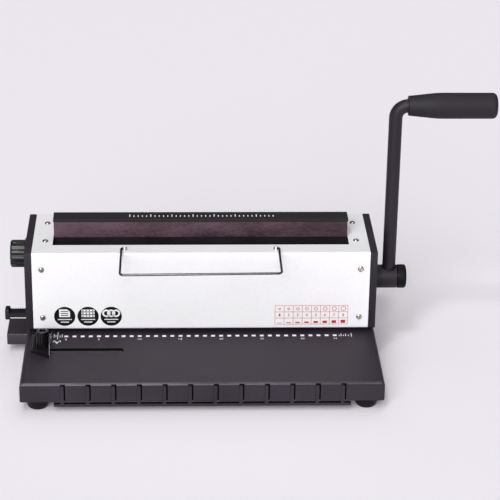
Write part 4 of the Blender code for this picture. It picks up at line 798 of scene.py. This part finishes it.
def make_camera():
    """A long lens a little above the bench."""
    yaw, pitch, roll = (math.radians(a) for a in (2.476, 24.592, 0.874))
    lens, place = 141.33, Vector((-29.396, -1828.922, 964.609))
    forward = Vector((math.sin(yaw) * math.cos(pitch), math.cos(yaw) * math.cos(pitch),
                      -math.sin(pitch)))
    right = Vector((math.cos(yaw), -math.sin(yaw), 0))
    up = right.cross(forward)
    across = right * math.cos(roll) + up * math.sin(roll)
    above = up * math.cos(roll) - right * math.sin(roll)
    data = bpy.data.cameras.new("camera")
    data.sensor_width = 36
    data.lens = lens
    data.clip_end = 20
    camera = bpy.data.objects.new("camera", data)
    bpy.context.scene.collection.objects.link(camera)
    turn = Matrix((across, above, -forward)).transposed().to_4x4()
    spot = place * mm + home
    camera.matrix_world = Matrix.Translation(spot) @ turn
    bpy.context.scene.camera = camera


def make_sun(name, height, side, strength, width):
    """A sun at a height above the bench and to one side of the front, in degrees."""
    data = bpy.data.lights.new(name, 'SUN')
    data.energy = strength
    data.angle = math.radians(width)
    light = bpy.data.objects.new(name, data)
    bpy.context.scene.collection.objects.link(light)
    light.rotation_euler = (math.radians(90 - height), 0, math.radians(side))


def make_studio():
    """A pale sheet of paper under soft lights, with a world that fills the shadows."""
    bm = bmesh.new()
    bmesh.ops.create_grid(bm, x_segments=1, y_segments=1, size=6)
    mesh = bpy.data.meshes.new("floor")
    bm.to_mesh(mesh)
    bm.free()
    floor = bpy.data.objects.new("floor", mesh)
    bpy.context.scene.collection.objects.link(floor)
    material, tree, shader = new_material(
        "studio_paper", Base_Color=colour("ece8ee"), Roughness=0.7,
        Specular_IOR_Level=0.2)
    # the paper glows a little for the eye alone, so that it stays pale
    ray = add_node(tree, "ShaderNodeLightPath")
    seen = add_node(tree, "ShaderNodeMath", {
        0: ray.outputs["Is Camera Ray"], 1: ray.outputs["Is Transmission Ray"]},
        operation='MAXIMUM')
    glow = add_node(tree, "ShaderNodeMath", {0: seen.outputs[0], 1: 0.06},
                    operation='MULTIPLY')
    shader.inputs["Emission Color"].default_value = colour("f0ecf2")
    tree.links.new(glow.outputs[0], shader.inputs["Emission Strength"])
    floor.data.materials.append(material)

    world = bpy.data.worlds.new("studio")
    bpy.context.scene.world = world
    world.use_nodes = True
    back = world.node_tree.nodes["Background"]
    back.inputs["Color"].default_value = colour("f4f1f6")
    back.inputs["Strength"].default_value = 0.17
    make_sun("soft_front", 31, -16, 2.78, 45)
    make_sun("small_high", 64, -30, 0.55, 10)
    make_sun("soft_top", 88, 0, 0.22, 24)
    make_sun("soft_rear", 62, 165, 0.4, 40)
    bpy.context.scene.view_settings.view_transform = 'Standard'


make_camera()
make_studio()
dress_inner_nodes()
make_housing()
make_feet()
make_screws()
make_lever()
make_knob()
make_guide_knob()
make_wire_holder()
make_scale()
make_discs()
make_chart()
make_flange_scale()
